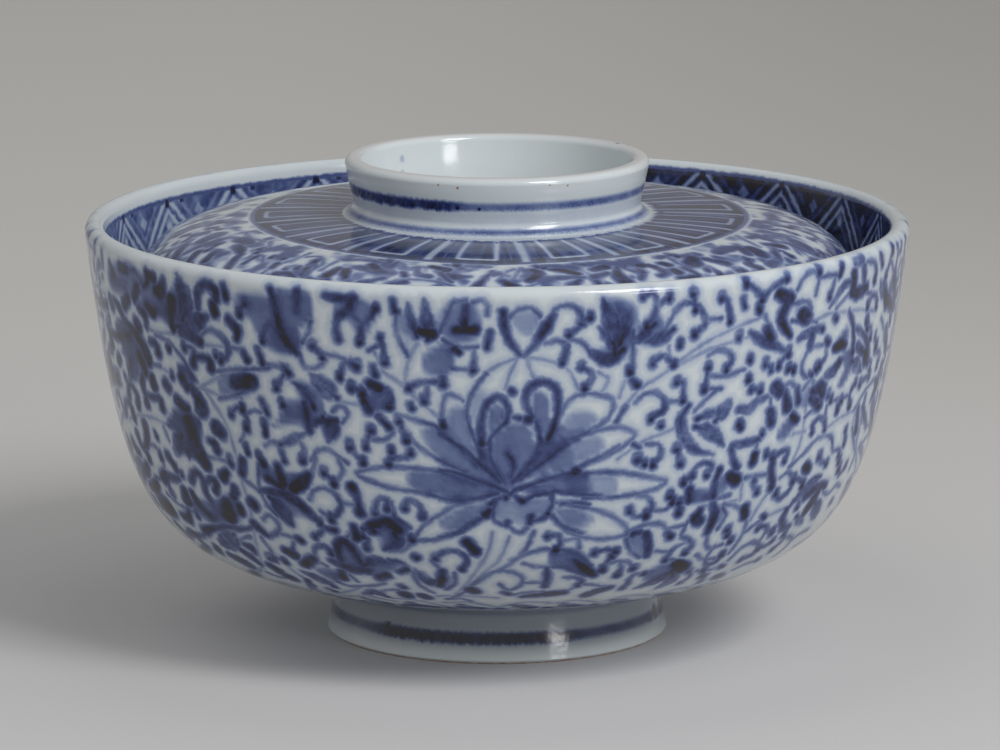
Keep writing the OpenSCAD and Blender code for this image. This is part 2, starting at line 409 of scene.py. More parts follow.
wall.line((13.8, 57.2), (12.6, 58.6), (11, 59.2))
wall.stroke([(4.6, 60.8), (8, 60.2), (11.6, 59.6)], (0.9, 1.4, 1.2), (0.9, 1, 0.96))
wall.line((2.8, 59.8), (5, 59.2), (8, 58.8))
wall.line((14.2, 56.8), (16.7, 57.4), (19.4, 58.6))
wall.stroke([(19.8, 58.8), (17.6, 60), (16.2, 61.4)], (1, 1.4, 1.4), (0.85, 0.96, 1))
wall.curl((25, 55), (23.4, 54.9), (22.7, 56.4), (22.9, 58), (22.4, 59.3))
wall.dot((25, 55))
wall.wash((25.8, 54), (29, 52.2), (32.8, 52.6), (33.6, 54.6), (31.4, 57), (28, 58.6), (25.4, 57), tone=0.5)
wall.stroke([(30.6, 53.4), (32.2, 54.8)], (1.6, 1.9), (0.9, 1))
wall.leaf((30.4, 55.2), (28.4, 57.8), (25.2, 60), wide=1.5)
wall.leaf((30.8, 56), (31.6, 58.6), (30, 61.6), wide=1.5)
wall.line((28.2, 51.6), (30.2, 52.2), (31.6, 53.4))
wall.line((33.8, 51.6), (35.4, 52.9), (38.2, 53.4))
wall.hook((34.2, 56), (35.4, 58.2), (34.6, 60.2))
wall.hook((37.6, 56.4), (38.6, 58.8))
# Curls and leaves left of the bud, under the rim
wall.wash((-7.6, 6.2), (-6.4, 2.6), (-5, 0.4), (-3, 0.6), (-2.8, 3), (-2.8, 6), (-5, 7.2), tone=0.42)
wall.stroke([(-4.1, 1.2), (-4.4, 5.4)], (0.9, 1.2), (0.62, 0.8))
wall.stroke([(-5.4, 5.6), (-3, 5.5)], 1.2, 0.84)
wall.line((-7.6, 6), (-6.6, 3.2), (-5.7, 0.7), (-4, 0.2))
wall.line((-3.2, 0.6), (-2, 0.2), (-1.2, 1.2), (-1.3, 2.8))
wall.wash((-9.4, 13.2), (-8.6, 10.2), (-7.5, 8), (-5, 8.2), (-5.4, 10.5), (-6, 13.2), (-7.6, 14), tone=0.48)
wall.line((-7.2, 7.4), (-5, 8.8), (-2.6, 8.6))
wall.stroke([(-5.6, 9), (-5, 9.6)], (0.9, 0.8), (0.8, 1))
wall.line((-6, 12.6), (-3.8, 12.7))
wall.leaf((-9.2, 7.4), (-9.2, 4), (-9.6, 0.3), wide=1.3)
wall.stroke([(-10.2, 6), (-8.6, 6.4)], (1.2, 1.3), 0.9)
wall.leaf((-10.6, 7), (-11.4, 3.8), (-11.8, 1), wide=0.9)
wall.line((-13.4, 2.8), (-13.5, 6), (-12.8, 8.4), (-12, 10.5))
wall.wash((-13.4, 3), (-11.8, 2.8), (-11.4, 5.6), (-12.6, 6.6), (-13.4, 6.2), tone=0.36)
wall.vine((-10.6, 8.2), (-11.7, 10.5), (-12.3, 13.4), (-12.6, 15.9))
wall.dot((-13.8, 0.7), (-13.5, 2.5))
wall.hook((-12, 16.2), (-10.4, 15.2), (-7.3, 15))
wall.curl((-9.5, 15.4), (-9.4, 16.8), (-9.9, 18.4))
wall.dot((-11.8, 19.4), (-11.6, 20.1))
wall.hook((-16.1, 2), (-16.8, 3.8), (-18.2, 5.4), (-18.6, 8.2))
wall.stroke([(-23.2, 0.5), (-21.3, 0.8), (-19.2, 0.6)], (0.9, 1, 1), (0.62, 0.6, 0.66))
wall.stroke([(-19.6, 1), (-19.9, 2.8), (-21.3, 3.9), (-21.9, 6), (-21.6, 8.2)], (1.1, 1, 0.8, 0.95),
            (0.7, 0.6, 0.62, 0.8))
wall.line((-19.8, 3.2), (-18.4, 4.8))
wall.hook((-15.7, 7.3), (-15.3, 9.4), (-15.2, 11.6))
wall.line((-15.9, 8.8), (-17.5, 9.9))
wall.dot((-16.9, 12.8), (-16.6, 14.3))
wall.stroke([(-17.3, 16), (-16.2, 16.6)], (1.3, 1.2), 1)
wall.curl((-16.4, 16), (-15, 16.6), (-14.5, 18.2), (-14.9, 19.8))
wall.hook((-20.2, 16.6), (-18.6, 17.6))
wall.stroke([(-18.7, 17.6), (-18.4, 19.4), (-17.9, 20.8)], (0.7, 1, 1.1), (0.8, 0.84, 0.8))
wall.dot((-16.4, 21.9), (-15, 23.8))
wall.hook((-13.6, 22.4), (-12.6, 25.7))
wall.hook((-17.7, 24.3), (-18.6, 27.4))
wall.line((-17.5, 26.2), (-15.5, 25.9), (-14.6, 24.7))
for points in [
        [(-21, 27.6), (-20.4, 29.2), (-19.2, 30.4)], [(-15.4, 30.4), (-14.9, 28)],
        [(-14.8, 29.2), (-13, 29.3), (-12.1, 28.2)], [(-19.2, 12.7), (-21, 12.4), (-21.7, 14.8)]]:
    wall.hook(*points)
wall.dot((-20, 12.4), (-19.2, 13))
wall.hook((-25.6, 9.5), (-24.2, 11.6))
wall.line((-27.6, 11.4), (-27, 13.6), (-25.4, 13.9), (-24.2, 12.7))
wall.line((-23.6, 11.1), (-21.8, 11.3), (-20.4, 12))
wall.vine((-16.6, 9.9), (-16, 12), (-15.2, 14), (-12.6, 15.6))
wall.vine((-15.6, 13.4), (-13.4, 15.4), (-10.2, 19.2), (-8, 21.4))
# The flower's petals on the left
wall.line((-7.4, 23), (-7.6, 20.2), (-7, 17.6), (-6, 17.3), (-4.6, 18.3))
wall.stroke([(-7.5, 22.2), (-7.4, 23)], (0.8, 0.9), (0.62, 0.8))
wall.wash((-6.8, 20.4), (-4.4, 19.6), (-3.4, 24), (-3, 30), (-6.4, 27.6), tone=0.36)
wall.line((-1.4, 13.4), (-2.8, 15.6), (-3.9, 18.4), (-4.1, 21.2), (-3.3, 24.8), (-2, 28.6))
wall.wash((-10.6, 24.2), (-8, 22.6), (-6.2, 23), (-2.4, 29.6), (-1.6, 33), (-6, 30.8), (-9.2, 27.8),
            tone=0.4)
wall.line((-2.8, 30.6), (-6, 26.4), (-8.5, 23.1), (-11.2, 22.2), (-14, 21.4), (-12.6, 24.6), (-11.2, 26.8),
            (-7.9, 29.6), (-4.4, 31.6))
# Leaf sprays further left
wall.leaf((-22.4, 18.9), (-24.3, 17), (-26.1, 14.9), wide=1.9)
wall.leaf((-26, 21.2), (-27.2, 18.2), (-29, 16.8), wide=1.0)
wall.dot((-31.3, 20.4), (-31, 21.4))
wall.wash((-31.2, 20.6), (-28.2, 20), (-26.4, 21), (-26.8, 23.8), (-30.8, 25), (-33.6, 25.6), (-31.4, 23.2),
            tone=0.5)
wall.stroke([(-27.4, 20.6), (-27, 25.6)], 0.9, (0.66, 0.72))
wall.stroke([(-26.8, 24.2), (-25, 23.4), (-22.8, 23.2)], (0.9, 1, 0.7), (0.66, 0.62, 0.6))
wall.leaf((-24.8, 22.8), (-23.5, 24.6), (-24.3, 27.2), wide=1.5)
wall.line((-23.2, 21.4), (-22.4, 20.5), (-21.3, 20.7), (-21, 22), (-21.8, 23.4))
wall.vine((-23.6, 19.4), (-21.6, 19.6), (-19.2, 20))
wall.wash((-36.2, 2.4), (-33.2, 1.9), (-31, 3), (-31, 5.4), (-33.6, 6), (-36, 5), tone=0.5)
wall.hook((-35.9, 3.2), (-36.9, 5.2))
wall.stroke([(-31.5, 0.2), (-31, 2.6), (-30.5, 6)], (0.8, 1, 1.1), (0.84, 0.74, 0.8))
wall.curl((-31, 5.8), (-32.6, 7), (-33.4, 9.6))
wall.wash((-29.8, 0.4), (-26, 0.2), (-25.2, 4), (-27, 6.4), (-29, 5.6), (-30.4, 3), tone=0.5)
wall.stroke([(-27.3, 0.2), (-27.6, 3.6)], (1, 0.9), (0.66, 0.7))
wall.wash((-31.4, 6), (-28, 6), (-27, 9), (-27.8, 11.6), (-31, 11.6), (-32.2, 9.2), tone=0.56)
wall.stroke([(-30.6, 6), (-29.8, 9), (-28, 11.4)], (1, 1.2, 0.7), (0.8, 0.76, 0.6))
wall.line((-25.6, 5.4), (-25.9, 7.4), (-27, 9.3))
wall.dot((-39.4, 0.7), (-39, 2.9))
wall.curl((-42.2, 2), (-41, 3.6), (-41.5, 5.8))
wall.stroke([(-38.9, 6.8), (-37.6, 8.4), (-37.8, 10.2)], (1.1, 1.35, 0.9), (0.8, 0.86, 1))
wall.curl((-42.4, 9), (-40.2, 10), (-39.3, 12), (-40, 13.9), (-41.1, 14.3))
wall.line((-39, 11.9), (-37, 11.9))
wall.dot((-36.8, 12.4), (-36.3, 13.8))
wall.dot((-34.3, 11.4), (-33.7, 14))
wall.line((-34, 14), (-31.2, 14.2))
wall.hook((-29.9, 14.7), (-30.8, 16.4), (-31.8, 18))
wall.dot((-30.4, 14.2), (-29.6, 15.2))
wall.stroke([(-38.8, 18.2), (-36, 17.6)], 1.7, 0.96)
wall.line((-42.4, 16.8), (-39.3, 15.9), (-36.5, 15.5), (-34, 15), (-32.6, 14.6))
wall.line((-42.4, 21.8), (-39.8, 21), (-37.9, 19.9), (-36.2, 18.6))
wall.wash((-42, 17.4), (-38.6, 16.2), (-34.6, 15.8), (-36, 18.6), (-39.6, 20.6), (-42, 21.4), tone=0.4)
wall.dot((-34.6, 20.9), (-33.8, 23.2))
wall.dot((-34.6, 24.6), (-34.5, 27.3))
wall.curl((-40.8, 24.6), (-39.8, 23.1), (-38.4, 23.1), (-37.5, 24.8), (-37.8, 26.3))
wall.line((-37.9, 26.6), (-38.6, 28), (-39.4, 29.2))
wall.line((-37.5, 23.8), (-36, 23), (-34.8, 23.2))
wall.dot((-38.6, 29.8), (-38.3, 31.2))
wall.curl((-34.9, 29.4), (-33.8, 28.4), (-32.4, 29.1), (-31.9, 31.6))
wall.leaf((-32.2, 28.8), (-30.3, 27.8), (-27.6, 25.9), wide=1.0)
wall.curl((-28.9, 27.6), (-28.3, 29.2), (-28.7, 31))
wall.line((-27.4, 31.2), (-26.2, 29.2), (-24.5, 28.7), (-22.9, 29.8), (-21.6, 31))
# Lower left of the flower
wall.dot((-39.8, 33.7), (-40.1, 35.9))
wall.dot((-42.2, 33.4))
wall.vine((-41, 29.6), (-40.5, 35.4), (-40.2, 41.8), (-40.4, 45))
wall.line((-40.4, 36.4), (-37.4, 38.6), (-36.8, 40.7), (-35.2, 43))
wall.dot((-36.3, 31.2), (-35.6, 33.2))
wall.line((-36.6, 33.2), (-37.3, 36.4), (-37, 39.3))
wall.stroke([(-33.2, 33), (-32.7, 36.2)], (1.1, 1.3), (0.8, 0.86))
wall.stroke([(-28.2, 34), (-29.6, 35.8), (-31, 37)], (1.1, 1.7, 1.4), (0.84, 1, 0.96))
wall.line((-26.6, 30.4), (-27.4, 33.2), (-28.6, 34.4))
wall.stroke([(-35.4, 35.6), (-33, 37.2)], 1, (0.72, 0.76))
wall.stroke([(-37.2, 38.4), (-34.6, 38.2), (-32.2, 38.7), (-30.3, 40), (-28.9, 41.8), (-27.4, 43.4)],
            (0.8, 1.1, 1.3, 1.2, 0.8), (0.66, 0.7, 0.78, 0.66, 0.62))
wall.leaf((-35.8, 39.4), (-33.9, 41.6), (-32.6, 44.8), wide=1.7)
wall.hook((-27.5, 43.2), (-27.3, 45), (-29, 46.5))
wall.curl((-28.6, 38.9), (-27.8, 37.1), (-25.9, 36.3), (-24.2, 37.1), (-23.4, 39.3), (-24.3, 41.3),
            (-25.5, 42.2))
wall.line((-27, 40.9), (-25.8, 42))
wall.line((-23.4, 38.9), (-20.6, 39))
wall.dot((-26.6, 44.4), (-25.3, 44.7))
wall.hook((-25.5, 33.1), (-24.1, 34.9))
wall.line((-22.9, 30.4), (-22.5, 32.8), (-23.8, 34.8))
wall.stroke([(-21.4, 35.4), (-20.6, 38), (-20.5, 40.6)], (1.2, 0.8, 1.3), (0.86, 0.7, 0.9))
wall.dot((-20.5, 40.2))
wall.hook((-18.2, 40.2), (-17.4, 37.6), (-16.2, 37.6), (-16.2, 39))
wall.line((-15.5, 38), (-15.2, 41.2))
wall.hook((-13.5, 38.9), (-12.9, 37.4), (-11.4, 38.2), (-11, 40.3))
wall.stroke([(-20.4, 43.8), (-18.4, 42.6), (-16.4, 42.2), (-14.8, 43.6)], (0.9, 1.4, 1.5, 1.1),
            (0.76, 0.86, 0.9, 0.8))
wall.dot((-19.4, 44.3), (-18.8, 44.2))
wall.dot((-15.9, 43), (-15.4, 43.4))
wall.line((-14.7, 41.4), (-13, 42.9))
wall.stroke([(-21.9, 43.4), (-21.7, 45.8)], (1, 1.3), (0.74, 0.9))
wall.hook((-20.8, 45.2), (-20, 46), (-20.5, 47.7))
wall.line((-23.4, 45.8), (-21.8, 44))
wall.leaf((-15.6, 44.2), (-15.3, 46.6), (-17.6, 48), wide=1.3)
wall.line((-16.6, 48.1), (-14.7, 48), (-13.3, 46.6), (-12.8, 45.5))
wall.line((-12.8, 45.5), (-9.8, 45.4), (-6.5, 43.9), (-4.3, 41.8), (-2.2, 39.8))
wall.line((-12.5, 45), (-10.9, 42.2), (-8.4, 40), (-5.4, 37.6), (-2, 36.4))
wall.dot((-12.8, 45.3), tone=0.9)
wall.wash((-8.6, 41.2), (-5.6, 38.5), (-2.4, 37.4), (-3, 40.2), (-5.8, 42.8), (-8, 43), tone=0.38)
wall.line((-3, 34), (-7.9, 31.7), (-11.2, 31.2), (-15.3, 31.1), (-18.3, 31.8), (-20.4, 32.9), (-18, 34.3),
            (-15, 35.3), (-11.4, 35.7), (-7.9, 36.6), (-3, 36.8))
wall.wash((-12.2, 31.7), (-6, 31.6), (1.2, 33), (1.2, 35.9), (-6, 36.6), (-12.2, 35.2), tone=0.44)
wall.stroke([(-4.6, 45.6), (-4, 46.4), (-3.3, 47.6)], (1.3, 1.1, 1.4), (0.84, 0.84, 0.96))
wall.hook((-9.6, 49.2), (-8.4, 47.9), (-6.8, 47.5), (-5.2, 48.2), (-4.6, 50), (-5.5, 51.8))
wall.line((-10.2, 50), (-8.8, 52.6))
wall.stroke([(-8.8, 52.6), (-9, 54.6), (-9.6, 56.8)], (1, 1.3, 0.9), (0.8, 0.9, 0.8))
wall.leaf((-9.4, 55.2), (-11.4, 55.6), (-13.2, 52.4), wide=1.3)
wall.line((-6.8, 53), (-7, 56.2), (-8.6, 58))
wall.line((-13.6, 53), (-13.1, 57), (-11.2, 59.6))
wall.stroke([(-4.4, 58), (-3.8, 58.6)], (1.4, 1.3), (0.96, 1))
wall.dot((-12.9, 49.2), (-12.6, 49.5))
wall.dot((-15.9, 53.4), (-14.6, 52.6))
wall.wash((-25.2, 52.2), (-25, 48.8), (-24, 47.6), (-22.8, 50), (-22.4, 53.2), (-24, 53.8), tone=0.5)
wall.stroke([(-25.7, 51.6), (-25.6, 48.6), (-24.5, 46.9), (-23.2, 48), (-22.4, 50.4), (-22, 52.6)],
            (0.9, 1.1, 1.2, 1, 0.9), (0.7, 0.74, 0.8, 0.7))
wall.stroke([(-27.4, 52), (-24.6, 53.6), (-21.4, 53.6)], (1, 1.4, 1.1), (0.7, 0.72, 0.66))
wall.leaf((-21.8, 52.4), (-19.6, 50.6), (-17.4, 51), wide=1.3)
wall.line((-17.2, 50.4), (-15.4, 50.6), (-14.4, 51.8))
wall.line((-21.8, 54.6), (-19.6, 55))
wall.stroke([(-19.8, 55.4), (-18.4, 54.6)], (1.4, 1.2), 0.96)
wall.wash((-31.8, 54.9), (-29, 54), (-26.2, 55.2), (-26.6, 57.2), (-28.5, 58.8), (-30.2, 57.4), tone=0.52)
wall.stroke([(-26.4, 54.6), (-26.8, 56.8)], (1, 1.1), (0.76, 0.84))
wall.line((-28.6, 58.4), (-26.7, 59.6), (-24, 58.9), (-21.3, 58.2), (-19.4, 57.2))
wall.line((-25.2, 55.4), (-24.4, 57.4))
wall.curl((-30.3, 52.9), (-30.3, 50.7), (-29.4, 48.9), (-27.8, 48.5), (-27, 49.8))
wall.line((-30.2, 52.4), (-28.8, 53.6))
wall.stroke([(-31, 52.1), (-33.2, 53.9)], 1.4, (0.9, 1))
wall.dot((-32.6, 47.5), (-31.9, 48))
wall.line((-36, 46.8), (-33.4, 47.4))
wall.curl((-38.2, 44.3), (-36.8, 43.2), (-35.6, 44.3), (-35.4, 45.8), (-36.5, 47.2), (-38.4, 47.8),
            (-40.2, 46.2))
wall.curl((-33.4, 48.4), (-34, 49.8), (-35, 51.3))
wall.stroke([(-35.8, 51), (-34.6, 51.8)], (1.2, 1.5), (0.86, 1))
wall.dot((-39.6, 41.2), (-39.2, 41.7))
wall.dot((-42.2, 39.4))
wall.dot((-42.2, 42.4))
wall.hook((-40, 53.2), (-37.3, 53.8))
wall.dot((-41.4, 56.6), (-41, 57.2))
wall.dot((-39.7, 59.4), (-39, 59.6))
wall.leaf((-30.4, 60.4), (-32.4, 58), (-35.2, 56.2), wide=1.5)
wall.curl((-32.6, 58), (-30.6, 58.6), (-30.5, 60.4))
wall.vine((-40.2, 47), (-38.4, 52.9), (-36.5, 57.6), (-35.4, 59.8))
wall.leaf((-35.4, 59.4), (-36.4, 62.4), (-38.2, 65), wide=1.1)
wall.dot((-32.4, 62.6), (-31.8, 63.4))
wall.vine((-31, 64), (-27.5, 61.8), (-25.4, 60.2), (-24.2, 59))
wall.dot((-16.6, 57.6), (-16.2, 58.2))
wall.stroke([(-16.7, 60.8), (-16.3, 61.9)], 1.5, (0.94, 1))
wall.stroke([(-13.4, 61.4), (-12.8, 62.2)], 1.3, (0.9, 0.96))
wall.leaf((-20.8, 63.2), (-22.6, 61.2), (-25.4, 63), wide=1.4)
wall.line((-21.4, 60.8), (-19.4, 59.6), (-17.4, 59.2))
wall.vine((-10.8, 61.1), (-7.9, 60.7), (-3.8, 60.7), (0.2, 61.4))
wall.line((-9, 62.4), (-6.6, 61.9), (-4.8, 63.2))
# Right of the spray, under the rim
wall.hook((42.3, -0.3), (40.6, 0.7), (38.6, 2.2), (37.8, 4.6))
wall.stroke([(41, 2.4), (43, 3.8)], (1.3, 1.8), (0.84, 0.96))
wall.stroke([(42.8, 4.4), (41.9, 6.8), (42.6, 8.6), (44, 10.6)], (1.4, 1.5, 1.1, 0.8), (0.9, 1, 0.86, 0.9))
wall.line((38.8, 6), (39.6, 7.8))
wall.stroke([(36.6, 8.9), (38.5, 10.4), (40.6, 11.6), (42.3, 12.6), (43.6, 13.4)],
            (0.7, 1.2, 1.2, 0.8, 0.6), (0.66, 0.7, 0.66, 0.6))
wall.stroke([(39.4, 8.6), (40.2, 10.8)], (1.3, 1.5), (0.76, 0.74))
wall.hook((44, 13.5), (43.2, 14.4), (42.4, 15.6))
wall.line((44.2, 4.7), (46.6, 4.7), (47.8, 6.4))
wall.wash((44.2, 5.2), (46.4, 5.2), (47, 7), (45, 7.8), tone=0.34)
wall.stroke([(46.2, 7.2), (47, 7.8)], (1.7, 1.8), (0.96, 1))
wall.line((43.9, 7.8), (45.3, 8.1))
wall.line((48, 8.4), (49.2, 9.1))
wall.line((44.4, 2.2), (45.3, 0.5), (46.6, -0.5), (48, -0.3), (48.7, 1.2), (48.4, 3.8))
wall.dot((48.8, -0.5), tone=0.8)
wall.line((49, 0.9), (51.3, 0.8), (53.4, 1.3))
wall.dot((54, -0.6), (53.6, 1.4))
wall.curl((52.4, 1.6), (52.2, 3), (51.6, 4.6))
wall.leaf((57.4, 3), (55.2, 3.2), (53.4, 5), (52, 6.8), wide=1.0)
wall.stroke([(57.2, 1.6), (57.6, 4.6)], (1.3, 1.4), (0.8, 0.84))
wall.stroke([(57.4, 5.2), (59.4, 5.6), (61.4, 5)], (1.3, 1.7, 1.2), (0.86, 1, 0.9))
wall.line((53.6, 7.4), (55.4, 5.8), (56.8, 5))
wall.stroke([(57.4, -0.3), (59.4, -0.4)], (1, 1.1), 0.52)
wall.stroke([(60, 1), (60.6, 4)], (0.9, 1), (0.6, 0.66))
wall.curl((60.6, 0.2), (63, 0.8), (64.2, 2.4), (64.1, 4.2))
wall.dot((65.4, 0), (66.4, 2))
wall.hook((70.4, 0), (69.4, 2.4), (68.5, 4.3))
wall.line((70.2, 2.2), (72.4, 4.4))
wall.line((61.6, 6), (63.4, 6.6))
wall.hook((62.8, 8.6), (63.8, 7.2), (65.4, 7.5), (66.1, 9.2))
wall.dot((53.6, 8.9), (53.9, 9.3))
wall.vine((48.8, 8.8), (51.3, 8), (55.1, 8.3), (60.6, 9), (66, 10.4))
wall.dot((50.4, 10.4), (50.8, 10.6))
wall.stroke([(46, 11.4), (48, 10.6), (50, 10.3)], (0.8, 1.2, 0.7), (0.54, 0.58, 0.66))
wall.stroke([(48.6, 11), (48.5, 13.4)], (1.1, 1), (0.7, 0.6))
wall.line((48.4, 13.5), (51.4, 13.5))
wall.dot((52.2, 13), (52.6, 13.4))
wall.curl((52.3, 14.2), (52.5, 15.9), (51.2, 17.3))
wall.dot((50.6, 17.6), tone=0.84)
wall.line((48, 14.2), (47.2, 15.9), (47.4, 17.9), (48.8, 19.2))
wall.dot((49.3, 18.6), (49.7, 18.8))
wall.hook((44.4, 16.5), (45.5, 17))
wall.hook((39.8, 14.8), (41, 16.1))
wall.hook((37.7, 19.2), (39.4, 19.6))
wall.stroke([(42.4, 19.8), (43.2, 20.6)], (1.7, 1.6), 1)
wall.stroke([(41.9, 24.2), (42.4, 26.2)], (1.3, 1.4), (0.96, 1))
wall.line((41.6, 21.6), (41.9, 23.6))
wall.stroke([(36, 22.8), (37.6, 23), (39, 21.6), (41, 21.2)], (0.9, 1, 0.8, 0.6), (0.54, 0.54, 0.5, 0.5))
wall.stroke([(35.6, 29.5), (38.6, 29.3), (40.4, 29)], (0.8, 0.9, 0.8), (0.66, 0.62, 0.7))
wall.dot((40.9, 28), tone=0.9)
wall.line((40.2, 29.6), (40.1, 32))
wall.stroke([(40.1, 32), (40, 33.2)], (1.1, 1.3), (0.9, 1))
wall.line((43.6, 20.2), (45.2, 19.4), (46.9, 20.9))
wall.stroke([(44.2, 20.8), (45.4, 24)], (0.9, 1.4), (0.66, 0.84))
wall.stroke([(46.9, 21), (47.5, 23.2)], (0.9, 1.2), (0.7, 0.86))
wall.line((48, 21.4), (49.6, 19.6), (50.8, 21))
wall.wash((48.2, 22), (49.6, 20.4), (50.8, 22.4), (49.6, 25), (48.2, 24.4), tone=0.4)
wall.stroke([(50.8, 22), (52.4, 21.6), (53, 23)], (1.3, 1.8, 1.5), (0.76, 0.84, 0.8))
wall.stroke([(50.6, 23.4), (52.4, 24.8)], (1.2, 1.6), (0.76, 0.8))
wall.wash((44.4, 27.4), (46.4, 25.6), (48.2, 26.2), (47.2, 28.6), (45.6, 30.3), (43.9, 29.6), tone=0.5)
wall.stroke([(46.6, 25.8), (47.8, 26.8)], (1, 1.1), 0.8)
wall.vine((49.4, 24.4), (49.6, 27.6), (49.5, 32), (48.4, 35.6))
wall.line((49.6, 26.6), (51.4, 25.4))
wall.vine((47.6, 29.4), (50.2, 29.4))
wall.wash((53.9, 14.8), (55.4, 12.6), (57.2, 11.2), (57.9, 13), (57.2, 15.2), (55.6, 15.9), tone=0.5)
wall.stroke([(54.6, 14.8), (56, 14.4), (57.2, 14.8)], (1.1, 1.5, 1.1), (0.76, 0.88, 0.8))
wall.stroke([(57.2, 8.6), (58.6, 10.9), (59.5, 13.4), (59.9, 16.6)], (0.6, 0.8, 0.8, 0.9),
            (0.76, 0.74, 0.8, 0.84))
wall.stroke([(53.4, 19.6), (55, 19.1), (56.3, 17.8)], (1, 1.3, 1.1), (0.56, 0.6, 0.9))
wall.wash((56, 17), (59, 15.4), (60.6, 17), (60.2, 20.4), (58.2, 22.8), (56.8, 22.2), (58, 19), tone=0.5)
wall.stroke([(60, 12.4), (62.2, 13.5), (64.6, 15.9), (65.6, 18.7)], (0.7, 0.8, 1, 1.2),
            (0.64, 0.64, 0.7, 0.8))
wall.stroke([(64.6, 18), (65, 19.2)], 1.6, (0.96, 1))
wall.stroke([(61.2, 15.8), (63.4, 17.4)], 1.1, (0.7, 0.74))
wall.leaf((60.2, 18.4), (62, 19.4), (64, 21.2), wide=1.6)
wall.hook((63.2, 11.4), (63.7, 12.8))
wall.hook((64, 13.2), (65.2, 13.2), (65.6, 15))
wall.hook((67.6, 15.3), (68.7, 17.4))
wall.dot((73.2, 17.1), (73.6, 17.5))
wall.curl((68.2, 18.7), (70.6, 18.9), (71.6, 20.2), (70.9, 21.3))
wall.hook((66, 19.6), (67.4, 20), (67.4, 21.3))
wall.hook((64.4, 23.4), (66.4, 22.9), (67.9, 22.7))
wall.dot((73.9, 22.3), tone=0.8)
wall.hook((54.6, 23.4), (55.7, 24.5))
wall.line((55.8, 24.8), (58.4, 25), (61, 24.9))
wall.hook((58.8, 25.2), (58.1, 26.9))
wall.hook((62.6, 22.8), (61.2, 24.8), (62, 27))
wall.hook((52.1, 29.8), (51.9, 28.5), (53.2, 27.5), (54.8, 28.2), (55.4, 30))
wall.line((54.8, 25.6), (54.8, 27.8))
wall.vine((56, 30), (59.2, 28.8), (64.4, 28.4))
wall.line((64.2, 28.3), (66, 26.3), (68.5, 24.8), (71, 24.2))
wall.dot((71.8, 24.6), (72.2, 25))
wall.vine((64.6, 28.4), (64.9, 32))
wall.line((67.4, 28.6), (68.4, 30), (68.8, 32))
for path, radii, tones in [
        ([(68.1, 5.8), (70.8, 10.1)], (1.2, 1.5), (0.62, 0.9)),
        ([(73.2, 5.2), (75.8, 10.2)], (1.1, 1.4), (0.56, 0.72)),
        ([(77.7, 3.9), (79.9, 8.7)], (1, 1.2), (0.5, 0.62)),
        ([(73.9, 10.3), (74.9, 14.3)], (1, 1.2), (0.6, 0.74)),
        ([(78.5, 12.2), (79.8, 15.9)], (0.9, 1), (0.5, 0.6)),
        ([(72.9, 15.2), (74.7, 19)], (1.2, 1.3), (0.66, 0.92)),
        ([(69.1, 12.3), (71.7, 15.2), (72.4, 17.1)], 0.5, (0.46, 0.5)),
        ([(78.3, 17.1), (79.9, 21.6)], 0.9, (0.46, 0.56)),
        ([(73.4, 24.1), (73.1, 25.9), (71.6, 28)], (1.3, 1.5, 0.9), (0.6, 0.84, 0.6)),
        ([(73.2, 29.1), (77.3, 35.2)], (1.4, 1.6), (0.6, 0.84)),
        ([(79.9, 26.1), (80.5, 30.2)], 1, (0.5, 0.56)),
        ([(68, 26.5), (68.2, 29.3), (72.6, 33.6)], (0.7, 0.9, 0.7), (0.56, 0.66, 0.6)),
        ([(65.5, 28.2), (67.1, 33.2)], (0.8, 1.1), (0.6, 0.84)),
        ([(67.5, 29.1), (68.6, 33.1), (69.2, 36.5), (75.7, 43.4)], (0.35, 0.4, 0.35), 0.46),
        ([(79, 36), (80, 40), (81, 44)], (0.7, 1, 0.7), (0.5, 0.62)),
        ([(71.7, 37.1), (77.3, 40.9), (79.8, 44.4)], (0.8, 0.9), (0.5, 0.6)),
        ([(78.6, 51.3), (76.3, 54.7), (71.7, 56), (64, 57.2)], (0.6, 0.8, 0.6), (0.5, 0.56)),
        ([(72.9, 57.7), (68.5, 60.9), (61.5, 61.8)], (0.6, 0.9, 0.5), (0.5, 0.56)),
        ([(74, 47), (75.4, 49.6)], (1, 1.3), (0.6, 0.8)), ([(79, 47), (77, 50)], 0.9, (0.5, 0.6))]:
    wall.stroke(path, radii, tones)
wall.leaf((69.4, 8.6), (67.6, 6.8), (66.4, 5), wide=1.3)
wall.stroke([(70, 8.8), (73.6, 11), (76.4, 12)], (1.2, 1.5, 1.2), (0.76, 0.84, 0.76))
# Lower right, towards the side
wall.hook((42.4, 32.1), (43.8, 32.9))
wall.hook((44.2, 33), (46.4, 32.2), (47.1, 33), (46.7, 34.2))
wall.stroke([(44.1, 33.4), (44.2, 35.9), (44.9, 37.6), (45.1, 39.2)], (0.9, 1, 1.2, 1.1),
            (0.76, 0.74, 0.84, 0.86))
wall.line((39, 36.2), (41.5, 36.2), (43.9, 36.3))
wall.hook((41, 36.8), (41, 38), (42.1, 39.4))
wall.vine((38.5, 36.8), (39, 40.7))
wall.line((36, 40.9), (37.7, 41.3), (39.6, 42.4))
wall.stroke([(40.4, 42.4), (40.9, 44.2)], 1.3, (0.9, 1))
wall.line((41.2, 44.4), (42, 46.9), (41.6, 50), (41, 52.6))
wall.vine((45, 39.8), (43.4, 42.5), (42.5, 45.4))
wall.line((42.2, 48), (44.2, 46.4), (45.2, 45.7))
wall.dot((45.1, 45), (45.6, 45.4))
wall.vine((46.1, 45.4), (48.3, 44.7), (50.7, 44.5))
wall.hook((38.2, 46.4), (38.8, 48), (39.8, 49.2))
wall.curl((36.8, 50), (36.2, 53), (37.4, 54.9), (39, 54.5), (39.4, 52.6))
